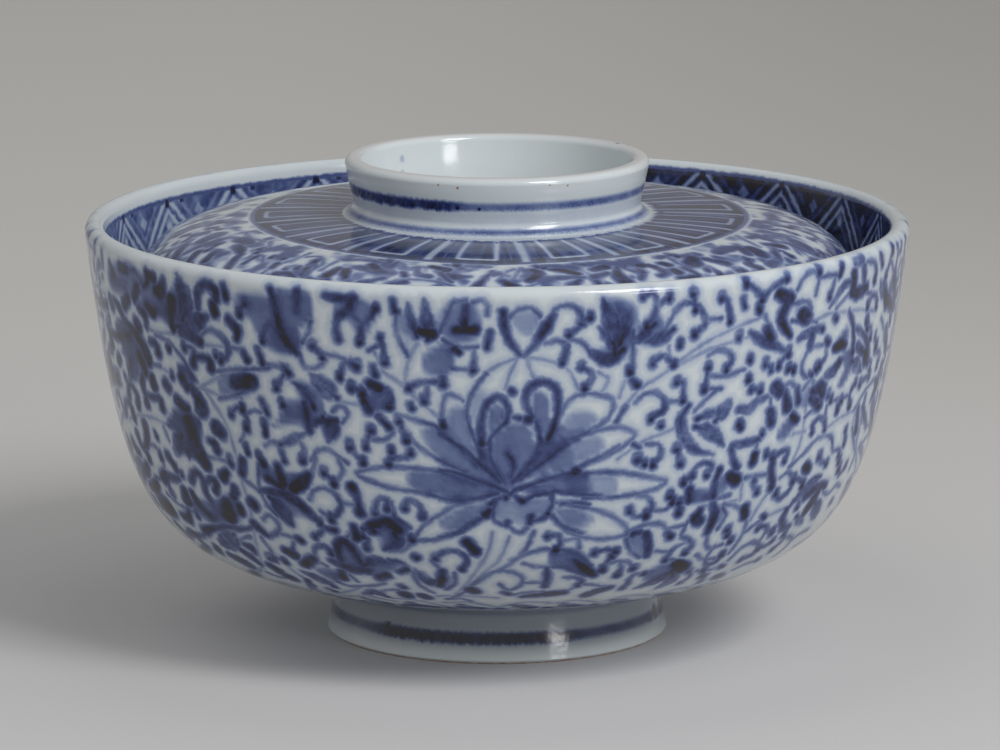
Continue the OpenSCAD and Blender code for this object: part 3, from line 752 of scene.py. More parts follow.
wall.curl((46.6, 37.6), (48, 36.8), (49.5, 37.9), (49.9, 40), (49, 41.4), (47.6, 42), (46.6, 40.6))
wall.hook((50, 38.6), (51.6, 38.9), (52.9, 40))
wall.stroke([(52.6, 36.8), (53.2, 37.3)], (1.5, 1.4), (0.96, 1))
wall.hook((55.6, 35.2), (56.6, 36.6), (58.4, 37.2))
wall.line((48.2, 35.8), (51.3, 33.6), (54, 31.5), (57.2, 31.7), (58.7, 33.2), (59.5, 35.1), (62, 35.4))
wall.hook((62.5, 31.7), (63.2, 34.3))
wall.hook((62.2, 36.4), (63, 37.7))
wall.hook((64, 39.5), (65.2, 41.1), (66.8, 39.6))
wall.line((64.9, 32), (66.3, 33.9), (68.7, 36.8), (70.1, 38.4), (69.8, 41))
wall.wash((51.2, 44.2), (53.4, 41), (55.6, 39.4), (58.2, 39.8), (56.6, 41.8), (53.6, 43.8), tone=0.5)
wall.line((51, 44.6), (53.5, 41.1), (55.6, 39.6), (57.9, 39.8))
wall.stroke([(55, 43.4), (56.8, 42.4), (59.2, 41.8), (60.7, 42.3)], (1, 1.3, 1.2, 1.1),
            (0.74, 0.76, 0.74, 0.9))
wall.dot((53.7, 44.8), tone=0.86)
wall.stroke([(58.8, 42.8), (57.8, 45.4), (57, 47)], (1.2, 1.8, 1.2), (0.84, 0.96, 0.86))
wall.leaf((59.4, 45.4), (61.4, 47.8), (62.9, 49.8), wide=1.9)
wall.leaf((54.8, 47.2), (56.4, 48.4), (58.2, 49.6), wide=1.3)
wall.stroke([(50.7, 44.8), (50.7, 47.1), (52.1, 49.2), (53.8, 49.3)], (0.8, 1, 1.1, 0.9),
            (0.66, 0.66, 0.72, 0.66))
wall.line((60.8, 43.6), (63.3, 44.6), (65.5, 43.3), (68, 44.2))
wall.dot((66.6, 46.9), (67, 47.3))
wall.hook((45.2, 47.5), (46.9, 47.5), (48, 48.9), (49.5, 49.3))
wall.line((47.6, 49.2), (47.2, 51))
wall.curl((42, 54.8), (43.1, 52.1), (45, 50.9), (46.9, 51.4), (48, 52.9), (47.6, 54.7), (45.6, 55.4))
wall.hook((48.2, 53), (49.9, 52.9), (51.2, 51.8))
wall.hook((53.7, 50.8), (54.8, 52.6), (53.4, 54.8))
wall.line((55.8, 52.1), (58, 53.2), (58.6, 55.6), (57.6, 58))
wall.line((58.4, 54.4), (60, 52.7), (63, 52.4))
wall.dot((41, 56.2), (41.6, 56.6))
wall.line((36, 56.4), (38.6, 56.9), (40.4, 56.4))
wall.hook((39.2, 59), (40.1, 61.6))
wall.stroke([(43.4, 60.4), (44.2, 61)], 1.5, (0.96, 1))
wall.line((46.2, 58.8), (48.3, 57.6), (50.6, 57.4))
wall.dot((51.2, 57), (51.6, 57.4))
# Far left, under the rim
wall.stroke([(-70.2, 0.6), (-70.6, 3)], (0.8, 0.9), (0.56, 0.5))
wall.dot((-73.6, 5.8), tone=0.7)
wall.stroke([(-63.2, 1.9), (-61.4, 1.9)], 1.3, 0.72)
wall.wash((-68, 4.4), (-66.6, 2.6), (-63.4, 3.6), (-61.2, 3.4), (-61.4, 5.6), (-64.6, 6.6), (-67.8, 6.4),
            tone=0.62)
wall.stroke([(-67, 2), (-66.2, 3.6)], (1, 1.2), (0.7, 0.76))
wall.stroke([(-62, 7.4), (-63.4, 8.6)], (1.5, 1.6), (0.9, 0.96))
wall.line((-61, 2.2), (-59, 1.3), (-57.8, 2), (-56.6, 3.6), (-55.6, 3))
wall.stroke([(-55.2, 1.4), (-53.8, 1.8)], (1.2, 1.4), (0.92, 0.84))
wall.stroke([(-55.4, 1), (-55.3, 2.6), (-56.6, 4)], (1, 1, 0.8), (1, 0.96, 0.8))
wall.stroke([(-58.6, 4.6), (-59.8, 6.8)], (1.3, 1.4), (0.8, 0.86))
wall.line((-58.6, 4.4), (-57.2, 3.4))
wall.stroke([(-56.4, 7.2), (-55, 8.4)], (1, 1.3), (0.76, 0.92))
wall.stroke([(-59, 8.2), (-57.4, 9.4), (-57.2, 11.2)], (0.9, 1.2, 1), (0.72, 0.8, 0.74))
wall.stroke([(-53.4, 4), (-52.4, 4.2), (-51.4, 1.8)], (1.3, 1.8, 1), (0.92, 0.94, 0.7))
wall.wash((-53.8, 6.4), (-51.6, 4.8), (-49, 4.6), (-49, 8.4), (-50.6, 9.4), (-53.6, 9), (-56.4, 8.2),
            tone=0.62)
wall.stroke([(-50, 5.2), (-50.6, 8.2), (-50.4, 10.6)], (1.6, 1.4, 1), (0.86, 0.84, 0.9))
wall.leaf((-48, 8.4), (-46.9, 4.8), (-48.2, 0.2), wide=2.3)
wall.leaf((-49.6, 9.8), (-46.6, 9), (-42.8, 6.8), wide=2.4)
wall.stroke([(-48.6, 10.6), (-46.6, 11), (-45, 11.8)], (1.2, 1.4, 1.3), (0.6, 0.66, 0.9))
wall.stroke([(-44.6, 5.4), (-44.3, 2.7), (-42.7, 1), (-40.9, 1.7), (-40.9, 3.4)], (0.8, 1, 1.1, 1.2, 1.2),
            (0.66, 0.7, 0.74, 0.84, 0.86))
wall.stroke([(-41.5, 4.4), (-41.3, 6)], (1.2, 1.3), (0.94, 1))
wall.vine((-57, 11.6), (-53.4, 11.9), (-50.6, 11.2), (-47.8, 12.4), (-44.2, 12.2), (-40.2, 12))
wall.line((-55, 12.5), (-52.4, 12.9), (-50, 14.6), (-48.2, 16.8), (-47.4, 19.2))
wall.curl((-45.4, 11.6), (-43.2, 9.4), (-41.4, 9.6), (-39.8, 11.4), (-40, 13.8), (-42, 13.6))
wall.hook((-48.4, 13.2), (-46.8, 13.2), (-46.4, 14.4))
wall.stroke([(-46.8, 16.2), (-46.4, 14.9), (-44.6, 14.6), (-43.4, 15), (-43.2, 16.4)],
            (1.3, 1, 0.9, 1.1, 1.3), (0.94, 0.84, 0.76, 0.84, 0.94))
wall.stroke([(-56.6, 14), (-55.2, 14.3), (-54.9, 15.8)], (0.9, 1.1, 1.3), (0.66, 0.8, 1))
wall.dot((-52.3, 14.1), (-52.1, 14.4))
wall.stroke([(-60.1, 11.2), (-59.6, 12)], (1.5, 1.6), (0.96, 1))
wall.stroke([(-68.9, 9), (-68.6, 9.9)], 1.5, (0.9, 0.96))
wall.stroke([(-67.4, 8.6), (-65.6, 9.6), (-64.2, 11.6), (-61.4, 13.2), (-59.2, 15.2), (-58, 17.8)],
            (0.9, 1.1, 1, 1.2, 1.5, 1.6), (0.7, 0.74, 0.7, 0.74, 0.86, 1))
wall.wash((-68.6, 13.6), (-65.8, 11.6), (-62.4, 13.4), (-59.8, 16), (-59.2, 20.4), (-61.6, 19.6),
            (-62.4, 22.4), (-65.8, 23.2), (-64.8, 19.2), (-67.6, 18.6), (-66.8, 16.6), tone=0.6)
wall.stroke([(-60.6, 17.6), (-59.6, 20.2)], (1.5, 1.4), (0.84, 0.9))
wall.stroke([(-72.4, 15.4), (-69, 15.6), (-65.6, 15), (-62.6, 14)], (0.9, 1.1, 1.2, 1),
            (0.76, 0.84, 0.8, 0.7))
wall.leaf((-64.4, 19.2), (-65.2, 21.4), (-66, 23.6), wide=1.4)
wall.stroke([(-77, 11), (-73.8, 10.8), (-71.2, 10.2)], (0.9, 1.1, 1.1), (0.7, 0.76, 0.76))
wall.stroke([(-71.9, 16.2), (-71.6, 17.6)], 1.4, (0.84, 0.9))
wall.stroke([(-69.6, 20.4), (-69, 19.8)], 1.3, (0.84, 0.8))
wall.wash((-79, 22.6), (-74.6, 22.4), (-70.6, 22), (-71, 25.6), (-75, 26.2), (-79, 27), tone=0.56)
wall.line((-54.8, 18.2), (-58, 18.2))
wall.vine((-56.6, 18.2), (-54.6, 18.3), (-52.6, 19.2))
wall.dot((-52.2, 19.3), tone=0.96)
wall.wash((-50.6, 17), (-48.8, 16.6), (-46.8, 18), (-46.2, 20), (-48.4, 19.8), (-50.4, 19.2), tone=0.56)
wall.stroke([(-50, 19.4), (-49, 20.8)], (1.3, 1.4), (0.92, 0.94))
wall.vine((-46, 20.4), (-43, 18.4), (-40.6, 16.8), (-38, 16))
wall.vine((-46.4, 20.6), (-43.8, 20.8), (-41.6, 21.6), (-38, 21))
wall.stroke([(-48, 20.8), (-46.8, 22.4), (-46.4, 24.4)], (1.2, 1.6, 2), (0.8, 0.86, 1))
wall.stroke([(-57.8, 21.2), (-57.6, 22.4)], (1.4, 1.5), (1, 0.96))
wall.line((-57.4, 22.8), (-57, 24.4))
for points, radii, tones in [
        ([(-54.1, 21.4), (-53.6, 21.9)], (1.5, 1.4), (1, 0.96)),
        ([(-60.8, 21.2), (-61.3, 23), (-60.9, 24.8), (-60.9, 26.4)], (1, 1.3, 0.9, 1.4),
         (0.84, 0.96, 0.8, 0.96)),
        ([(-60.8, 24.6), (-58.6, 24.8), (-56.6, 24.6), (-56.2, 26.4)], (0.7, 0.9, 0.9, 1.3),
         (0.7, 0.72, 0.76, 0.92)),
        ([(-51.8, 23.8), (-50.8, 24.6), (-49.6, 24.9)], (1.4, 1.6, 1.1), (0.94, 1, 0.84))]:
    wall.stroke(points, radii, tones)
wall.vine((-45, 21), (-43.2, 23.6), (-41.6, 26.8), (-40.9, 30.4))
wall.stroke([(-43.7, 27.6), (-43, 28.2)], (1.8, 1.7), (1, 0.96))
wall.hook((-40.4, 24.2), (-39.4, 23), (-38.2, 22.8))
wall.wash((-56.2, 29.4), (-53.8, 26.8), (-50.8, 26.2), (-47, 26.4), (-47.6, 29.4), (-50.6, 31.4),
            (-54, 30.4), tone=0.62)
for points, radii, tones in [
        ([(-50, 27.4), (-49.6, 29.8), (-49.4, 32)], (1.7, 1.9, 2.2), (0.76, 0.9, 0.94)),
        ([(-67.6, 26.6), (-66.8, 24.4), (-65.2, 24.3), (-64, 25.8), (-64.4, 27.6)], (1.2, 1, 0.9, 1, 1.3),
         (0.94, 0.84, 0.74, 0.8, 0.9)), ([(-67.8, 22.8), (-67, 24.2)], 0.9, (0.6, 0.66)),
        ([(-71.4, 30.4), (-70.4, 28.6), (-68.4, 27.8), (-67.6, 29), (-67.4, 30.6)], (1.2, 1, 0.9, 1.1, 1.3),
         (0.84, 0.8, 0.74, 0.84, 0.9))]:
    wall.stroke(points, radii, tones)
wall.vine((-70, 31.4), (-65, 29.6), (-60, 28.9), (-56.4, 29.3))
# Left side, middle and low
wall.stroke([(-63.4, 31.2), (-63.6, 33.2), (-64.8, 35.2), (-66.6, 36.2)], (1.6, 1.4, 1.1, 0.8),
            (0.9, 0.96, 0.84, 0.76))
wall.dot((-60.2, 31.8), (-59.9, 32.6))
wall.line((-63.8, 34.8), (-61.6, 34.6), (-60, 35.6))
wall.dot((-60.2, 36.2), tone=0.96)
wall.line((-59.9, 36.8), (-60.2, 39.4))
wall.stroke([(-67.8, 33.8), (-67.4, 35.6), (-65.8, 36.8), (-65.4, 38)], (1.3, 1, 0.9, 1.3),
            (0.8, 0.72, 0.76, 0.9))
wall.stroke([(-71.8, 36.4), (-71, 37.4), (-69.4, 38)], (1.5, 1.4, 1), (0.84, 0.84, 0.66))
wall.line((-57, 30), (-56.2, 32.4))
wall.leaf((-52.4, 31), (-53.8, 32.6), (-55, 35), wide=2.0)
wall.leaf((-50.8, 31.2), (-51.4, 33), (-51.6, 35), wide=1.5)
wall.stroke([(-49.6, 31.6), (-48.6, 33.6), (-47.8, 35.2)], (2, 2.1, 1.7), (0.94, 0.96, 0.9))
wall.line((-46.8, 33.6), (-44.6, 33.4), (-42.8, 33.8))
wall.dot((-42.2, 33.4), (-42, 34.2))
for points, radii, tones in [
        ([(-45.8, 30.4), (-44.8, 30.8), (-44.5, 31.9)], (0.9, 1.2, 1.4), (0.8, 0.9, 1)),
        ([(-39.7, 33.2), (-40.2, 35.4)], (1.3, 1.2), (0.94, 1)),
        ([(-43.4, 35.9), (-44.3, 36.9)], (1.1, 1.6), (0.9, 1)),
        ([(-57.8, 35.6), (-57, 36.4), (-56.5, 37.4)], (1.3, 1.1, 1.2), (0.9, 0.84, 0.96))]:
    wall.stroke(points, radii, tones)
wall.hook((-56.2, 37.6), (-54.9, 38.6))
wall.stroke([(-52.6, 39.4), (-51.6, 37.9), (-50.3, 37.4), (-49.4, 38.7), (-49.6, 41), (-48.8, 42.8)],
            (1.1, 1, 1, 1.1, 1.1, 0.9), (0.74, 0.74, 0.76, 0.76, 0.72, 0.66))
wall.stroke([(-49, 39), (-47.6, 38.1), (-46.4, 38.6), (-46.9, 40.2)], (0.8, 0.9, 1.1, 1.2),
            (0.7, 0.72, 0.8, 0.86))
wall.wash((-53.8, 41.4), (-52.4, 42.4), (-50.6, 44), (-48.2, 43.4), (-46, 41.8), (-44.2, 42.6), (-44, 45.4),
            (-46.8, 46.4), (-49.6, 47.4), (-52, 46.2), (-53.6, 44), tone=0.62)
wall.stroke([(-45.2, 42.8), (-45.6, 45.2)], (1.8, 1.9), (0.92, 0.96))
wall.stroke([(-53.6, 42), (-52.6, 44.6), (-50.2, 46.6)], (1, 1.1, 1.1), (0.74, 0.76, 0.76))
wall.line((-45, 41.4), (-43, 40.8))
wall.stroke([(-42.5, 39), (-43, 40.6)], (1.2, 1.3), (0.96, 1))
wall.stroke([(-42.4, 42.6), (-42.3, 43.6)], (1.3, 1.2), (0.9, 0.94))
wall.vine((-40.6, 37), (-40.4, 40.6), (-40.5, 44.4), (-41.4, 48.6), (-42.4, 52.4), (-44.4, 57),
            (-47.4, 59.8), (-50.4, 61.6))
for points, radii, tones in [
        ([(-39.7, 41.2), (-39.2, 41.8)], (1.5, 1.4), (1, 0.96)),
        ([(-40.4, 45.8), (-39.8, 46.6), (-38.4, 47.8)], (1.3, 1.1, 0.9), (0.92, 0.9, 0.84)),
        ([(-40.8, 46.4), (-43.6, 47.6), (-47.4, 47.8), (-50.6, 48.9), (-53, 49.6), (-54.8, 50.6)],
         (0.6, 0.7, 0.9, 1, 0.9, 1.6), (0.7, 0.66, 0.7, 0.74, 0.84, 1)),
        ([(-55.7, 42.2), (-56, 44)], (1.4, 1.8), (0.96, 1))]:
    wall.stroke(points, radii, tones)
wall.dot((-54.6, 46.8), tone=0.86)
wall.line((-62.6, 44.4), (-60.4, 45.6), (-57.6, 46.2), (-54.8, 46.4))
wall.stroke([(-60.4, 40.2), (-61.6, 41)], (1.6, 1.7), (0.92, 1))
wall.stroke([(-60.6, 39.8), (-58.4, 40.2), (-56.2, 39.8)], (1.2, 1.2, 0.8), (0.76, 0.72, 0.66))
wall.line((-62.2, 41), (-63.8, 41.6), (-65.4, 41.6))
wall.leaf((-60.6, 41.8), (-60.4, 43.4), (-60.2, 45.4), wide=1.3)
wall.stroke([(-60.4, 48.6), (-58.6, 48.8), (-57.6, 47.8), (-56.8, 46.4)], (1.2, 1.6, 1.1, 0.8),
            (0.84, 0.96, 0.84, 0.7))
wall.stroke([(-71, 42), (-69.2, 41.4), (-67.4, 40)], (1.1, 1.8, 1.4), (0.84, 0.92, 0.84))
wall.stroke([(-70.4, 44.8), (-67.6, 44.2), (-65.4, 43)], (1.2, 1.7, 1.2), (0.76, 0.8, 0.84))
wall.wash((-69.6, 46), (-67, 45), (-63.6, 45.6), (-62.4, 48.6), (-64, 50.2), (-67, 50.4), (-69.4, 49.4),
            tone=0.66)
for points, radii, tones in [
        ([(-68, 48), (-65.6, 48.2), (-64.2, 48.2)], (1.6, 2, 1.6), (0.84, 0.9, 0.84)),
        ([(-66.8, 52.4), (-66, 53.4)], 1.4, (0.84, 0.9)),
        ([(-65.2, 55), (-62.6, 53.2), (-60.8, 52.6), (-58, 52.6), (-55.8, 51.6)], (0.9, 1.1, 1.2, 0.8, 0.7),
         (0.66, 0.72, 0.76, 0.7, 0.76)), ([(-60.4, 53.2), (-59.2, 55.2)], (1, 1.1), (0.7, 0.72)),
        ([(-54.6, 54.6), (-55.4, 55.8)], (1.1, 1.3), (0.84, 0.94)),
        ([(-51.8, 56.2), (-50.4, 56.8), (-48.8, 57.9)], (1.4, 1.7, 1.9), (0.92, 0.96, 1)),
        ([(-46.8, 53.3), (-45.4, 54.6), (-44.6, 56.2)], (1.1, 1.3, 1), (0.74, 0.8, 0.72)),
        ([(-45, 51.4), (-43.7, 51.9), (-43.6, 53.2)], (0.9, 1.3, 0.8), (0.76, 0.94, 0.76))]:
    wall.stroke(points, radii, tones)
wall.leaf((-46.4, 49.2), (-48.6, 51.2), (-52.4, 53.4), wide=2.4)
wall.line((-46.4, 51.2), (-44.6, 49.8), (-42.4, 48.8))
wall.line((-40, 48.6), (-39.2, 51.8))
wall.hook((-40.6, 53.6), (-39.6, 53.6))
wall.stroke([(-41.8, 56.4), (-41, 57.6)], (1.4, 1.6), (0.96, 1))
wall.stroke([(-40, 59.4), (-39.2, 60)], 1.5, (1, 0.96))
wall.line((-45.2, 59.4), (-43.4, 60.4), (-40.6, 60.2))
wall.stroke([(-58.8, 55.4), (-61.4, 57.2), (-65.4, 59.2), (-70, 60.8)], (1, 1.2, 1.2, 1),
            (0.7, 0.76, 0.76, 0.7))
wall.stroke([(-50, 61.2), (-51.6, 62.6), (-53.6, 63.8)], (1, 1.5, 1.2), (0.84, 0.94, 0.84))
# Thin cobalt between the strokes, where the brush went over them again
for tone, outline in [
        (0.44, [(-68.1, 2.7), (-60.9, 0.1), (-56.9, 1.2), (-51.4, 2.8), (-51.5, 5.5), (-57.2, 6.2),
         (-63.3, 7.2), (-68.2, 6.7)]),
        (0.5, [(-59, 7), (-54.3, 4.5), (-48.5, 3.4), (-48.8, 7.2), (-49.6, 11.1), (-53.3, 9.4),
         (-58.2, 9.9)]),
        (0.5, [(-48.8, 1.3), (-46.5, 3.1), (-46.1, 6.3), (-42.5, 6.1), (-43.2, 8.4), (-46.5, 11.2),
         (-49.6, 11.1), (-51, 7.6)]),
        (0.46, [(-37.3, 2), (-34.8, 1.4), (-32.1, 1.7), (-31.6, 5.4), (-33.8, 9.2), (-35.2, 6.3),
         (-37.4, 4.9)]),
        (0.5, [(-31.2, 0.3), (-28.2, 0), (-25.5, 0.1), (-25.2, 4.6), (-27.5, 7.5), (-27.8, 11.1),
         (-30.5, 12), (-33.1, 10.4), (-32.8, 6)]),
        (0.46, [(-21.5, 0.6), (-18.7, 0.3), (-15.6, 2.5), (-16.2, 4.3), (-18.4, 8.4), (-19.9, 5),
         (-22, 4.8)]),
        (0.56, [(-53.6, 26), (-49.8, 24.8), (-47, 27.4), (-47.5, 32.1), (-46.6, 35.2), (-51.6, 34.8),
         (-54.4, 33.5), (-53.9, 29.7)]),
        (0.5, [(-55.7, 43.4), (-48.8, 42.3), (-43.8, 40.3), (-41.6, 43.4), (-44.9, 46.6), (-51.5, 48),
         (-54.4, 46.1)]),
        (0.46, [(-28.9, 16.5), (-25.9, 17), (-24.3, 20.4), (-25.3, 24.1), (-27.7, 25.7), (-29.5, 23.7),
         (-32.1, 25.4), (-31.3, 21.7), (-28.4, 20)]),
        (0.5, [(-25.2, 22.3), (-22.6, 22.5), (-22.1, 25.1), (-23.7, 27.5), (-25.1, 25.9)]),
        (0.5, [(-36.3, 32), (-33.1, 33.8), (-29.8, 33.8), (-27.6, 35.3), (-30.4, 38.1), (-34.5, 37.3),
         (-36.9, 35.8)]),
        (0.46, [(-36.1, 38.5), (-32.2, 38.8), (-28.4, 41.2), (-26.8, 43.9), (-31.2, 42.6), (-33.1, 45.4),
         (-35.6, 42.3)]),
        (0.54, [(-19.7, 41.6), (-15.5, 40.3), (-13.8, 42.6), (-15.7, 46.9), (-17.9, 45.5), (-19.3, 44.6)]),
        (0.48, [(-25.3, 46.9), (-22.4, 46.5), (-20.2, 50.1), (-15.4, 50.2), (-17.1, 53.5), (-23.4, 55),
         (-26.1, 52.1)]), (0.5, [(-17.7, 17.1), (-15.2, 16), (-14, 19.5), (-17.2, 21.5), (-19.2, 18.6)]),
        (0.5, [(-38.8, 17.5), (-35.3, 16.5), (-34.7, 18.6), (-37.4, 20.4), (-40.5, 20)]),
        (0.46, [(-67.8, 12.9), (-59.7, 12), (-56.8, 17.7), (-60.6, 21.2), (-66.1, 22.4), (-66.3, 17.5)]),
        (0.46, [(-0.6, 29.1), (1.8, 25.1), (5, 25.9), (9.3, 26), (10.7, 27.5), (10.5, 30.4), (7.3, 31.7),
         (3.5, 33.8), (2.2, 35.3), (0.8, 33.8), (-0.6, 31.6)]),
        (0.26, [(-3.7, 17.4), (-1.8, 16), (-1.3, 18.8), (-2.9, 22.3), (-2.4, 26.6), (-3.5, 24.5),
         (-3.9, 20.9)]),
        (0.44, [(6.3, 21.7), (8.4, 22.5), (10.6, 23.3), (13, 24.1), (10.4, 26.1), (7.7, 27.4),
         (6.1, 26.6)]), (0.4, [(-10.9, 3.5), (-7.8, 3.7), (-7.9, 7.1), (-10.5, 7.6), (-12.8, 6.7)]),
        (0.44, [(-7.1, 1.6), (-4.5, 0.9), (-2.3, 2.2), (-2.3, 6.7), (-4.8, 8.1), (-7.1, 6.8), (-7.6, 4.4)]),
        (0.24, [(-13.1, 7.4), (-11, 7.3), (-12.1, 10.8), (-12.9, 10.1)]),
        (0.44, [(-9.8, 10), (-7.1, 8.1), (-4.9, 8.4), (-5.4, 10.5), (-6.5, 13.7), (-9.6, 13.8)]),
        (0.46, [(13.9, 0.6), (18.4, 1.5), (18.8, 6.4), (17.6, 11.1), (15, 12.3), (12.6, 10.1),
         (14.6, 8.2)]),
        (0.46, [(18.6, 7.1), (20.3, 4.1), (21.9, 3.2), (23.3, 7.5), (21.7, 9.4), (19.5, 8.9)]),
        (0.5, [(9.9, 47.2), (13.3, 47.9), (15.9, 53.3), (13.5, 54.1), (10.5, 50.8), (7.8, 50.7)]),
        (0.34, [(-1.4, 38.2), (0.8, 36.7), (7.4, 36.5), (8.1, 39.9), (5.3, 40.6), (0.8, 40.9),
         (-1.4, 40.5)]),
        (0.48, [(-17.7, 42.9), (-14.6, 41.5), (-13, 43.3), (-14.5, 47.1), (-17.7, 48.2), (-18.1, 46.6)]),
        (0.36, [(-13.4, 53), (-11.1, 55), (-6.5, 53.6), (-7.5, 57.2), (-11.5, 57.5)])]:
    wall.wash(*outline, tone=tone)
# The heart of the flower: its two lobes, the middle petal, overlapping washes, and the cup under them
for tone, points in [
        (0.46, [(4.7, 17.2), (5.7, 16.6), (6.8, 17.5), (7.3, 19.8), (6.9, 22.8), (5.8, 24.4), (4.8, 22.7)]),
        (0.48, [(-1, 19.7), (-0.1, 18.9), (1, 19.7), (1.2, 21.8), (0.1, 23.5), (-1, 24.8), (-1.5, 22.6)]),
        (0.47, [(-0.7, 24.8), (1, 23.1), (2.3, 22.2), (4.2, 23.1), (5.1, 25.3), (5, 27.8), (3.9, 29.9),
         (2, 33), (0.4, 32.1), (-0.9, 29)]),
        (0.58, [(5.4, 24), (7.4, 25.7), (9, 24.5), (10.3, 25.9), (9.1, 28), (6.5, 30), (3.6, 33),
         (2.3, 33.4), (4.3, 30), (5.7, 27.4)]),
        (0.44, [(-7.9, 27), (-6, 26.6), (-3.1, 29.5), (-0.9, 31.6), (1, 34.1), (-0.9, 34.3), (-4, 32.6),
         (-8, 30.7)]),
        (0.56, [(-3.1, 26.9), (-1.5, 26.5), (-0.7, 29.9), (1, 33.8), (-0.9, 32.1), (-2.7, 29.5)]),
        (0.5, [(-8.1, 32.5), (-4.8, 32.8), (-1.2, 34.3), (1.1, 35.6), (-1.3, 36.3), (-4.9, 37),
         (-8.2, 36.4)]),
        (0.42, [(-5.3, 38.6), (-2.6, 37.4), (-0.4, 36.3), (-0.9, 38.5), (-2.8, 40.8), (-5.4, 43),
         (-7.5, 43.6)]), (0.47, [(3.3, 34.7), (6.6, 33.3), (9.5, 32.7), (10, 35.8), (8, 35.8), (5, 36.1)]),
        (0.55, [(9.5, 31.4), (13, 31.8), (13.6, 33.8), (13.4, 36), (10, 36.1)]),
        (0.48, [(5.9, 32.2), (9.1, 30.1), (11, 28.5), (11.3, 30.2), (9.2, 32.1), (6.3, 33.1)]),
        (0.34, [(0.1, 37.4), (1.7, 36.7), (3.7, 38.1), (5.4, 36.8), (7.7, 36.6), (7.4, 39.1), (6.1, 40.4),
         (4.4, 40.4), (3.5, 42.5), (2.1, 40.6), (0.4, 41.5)]),
        (0.42, [(8.4, 38.7), (10.5, 38.6), (13.6, 39.9), (12.4, 42.4), (9.9, 42)])]:
    wall.wash(*points, tone=tone)
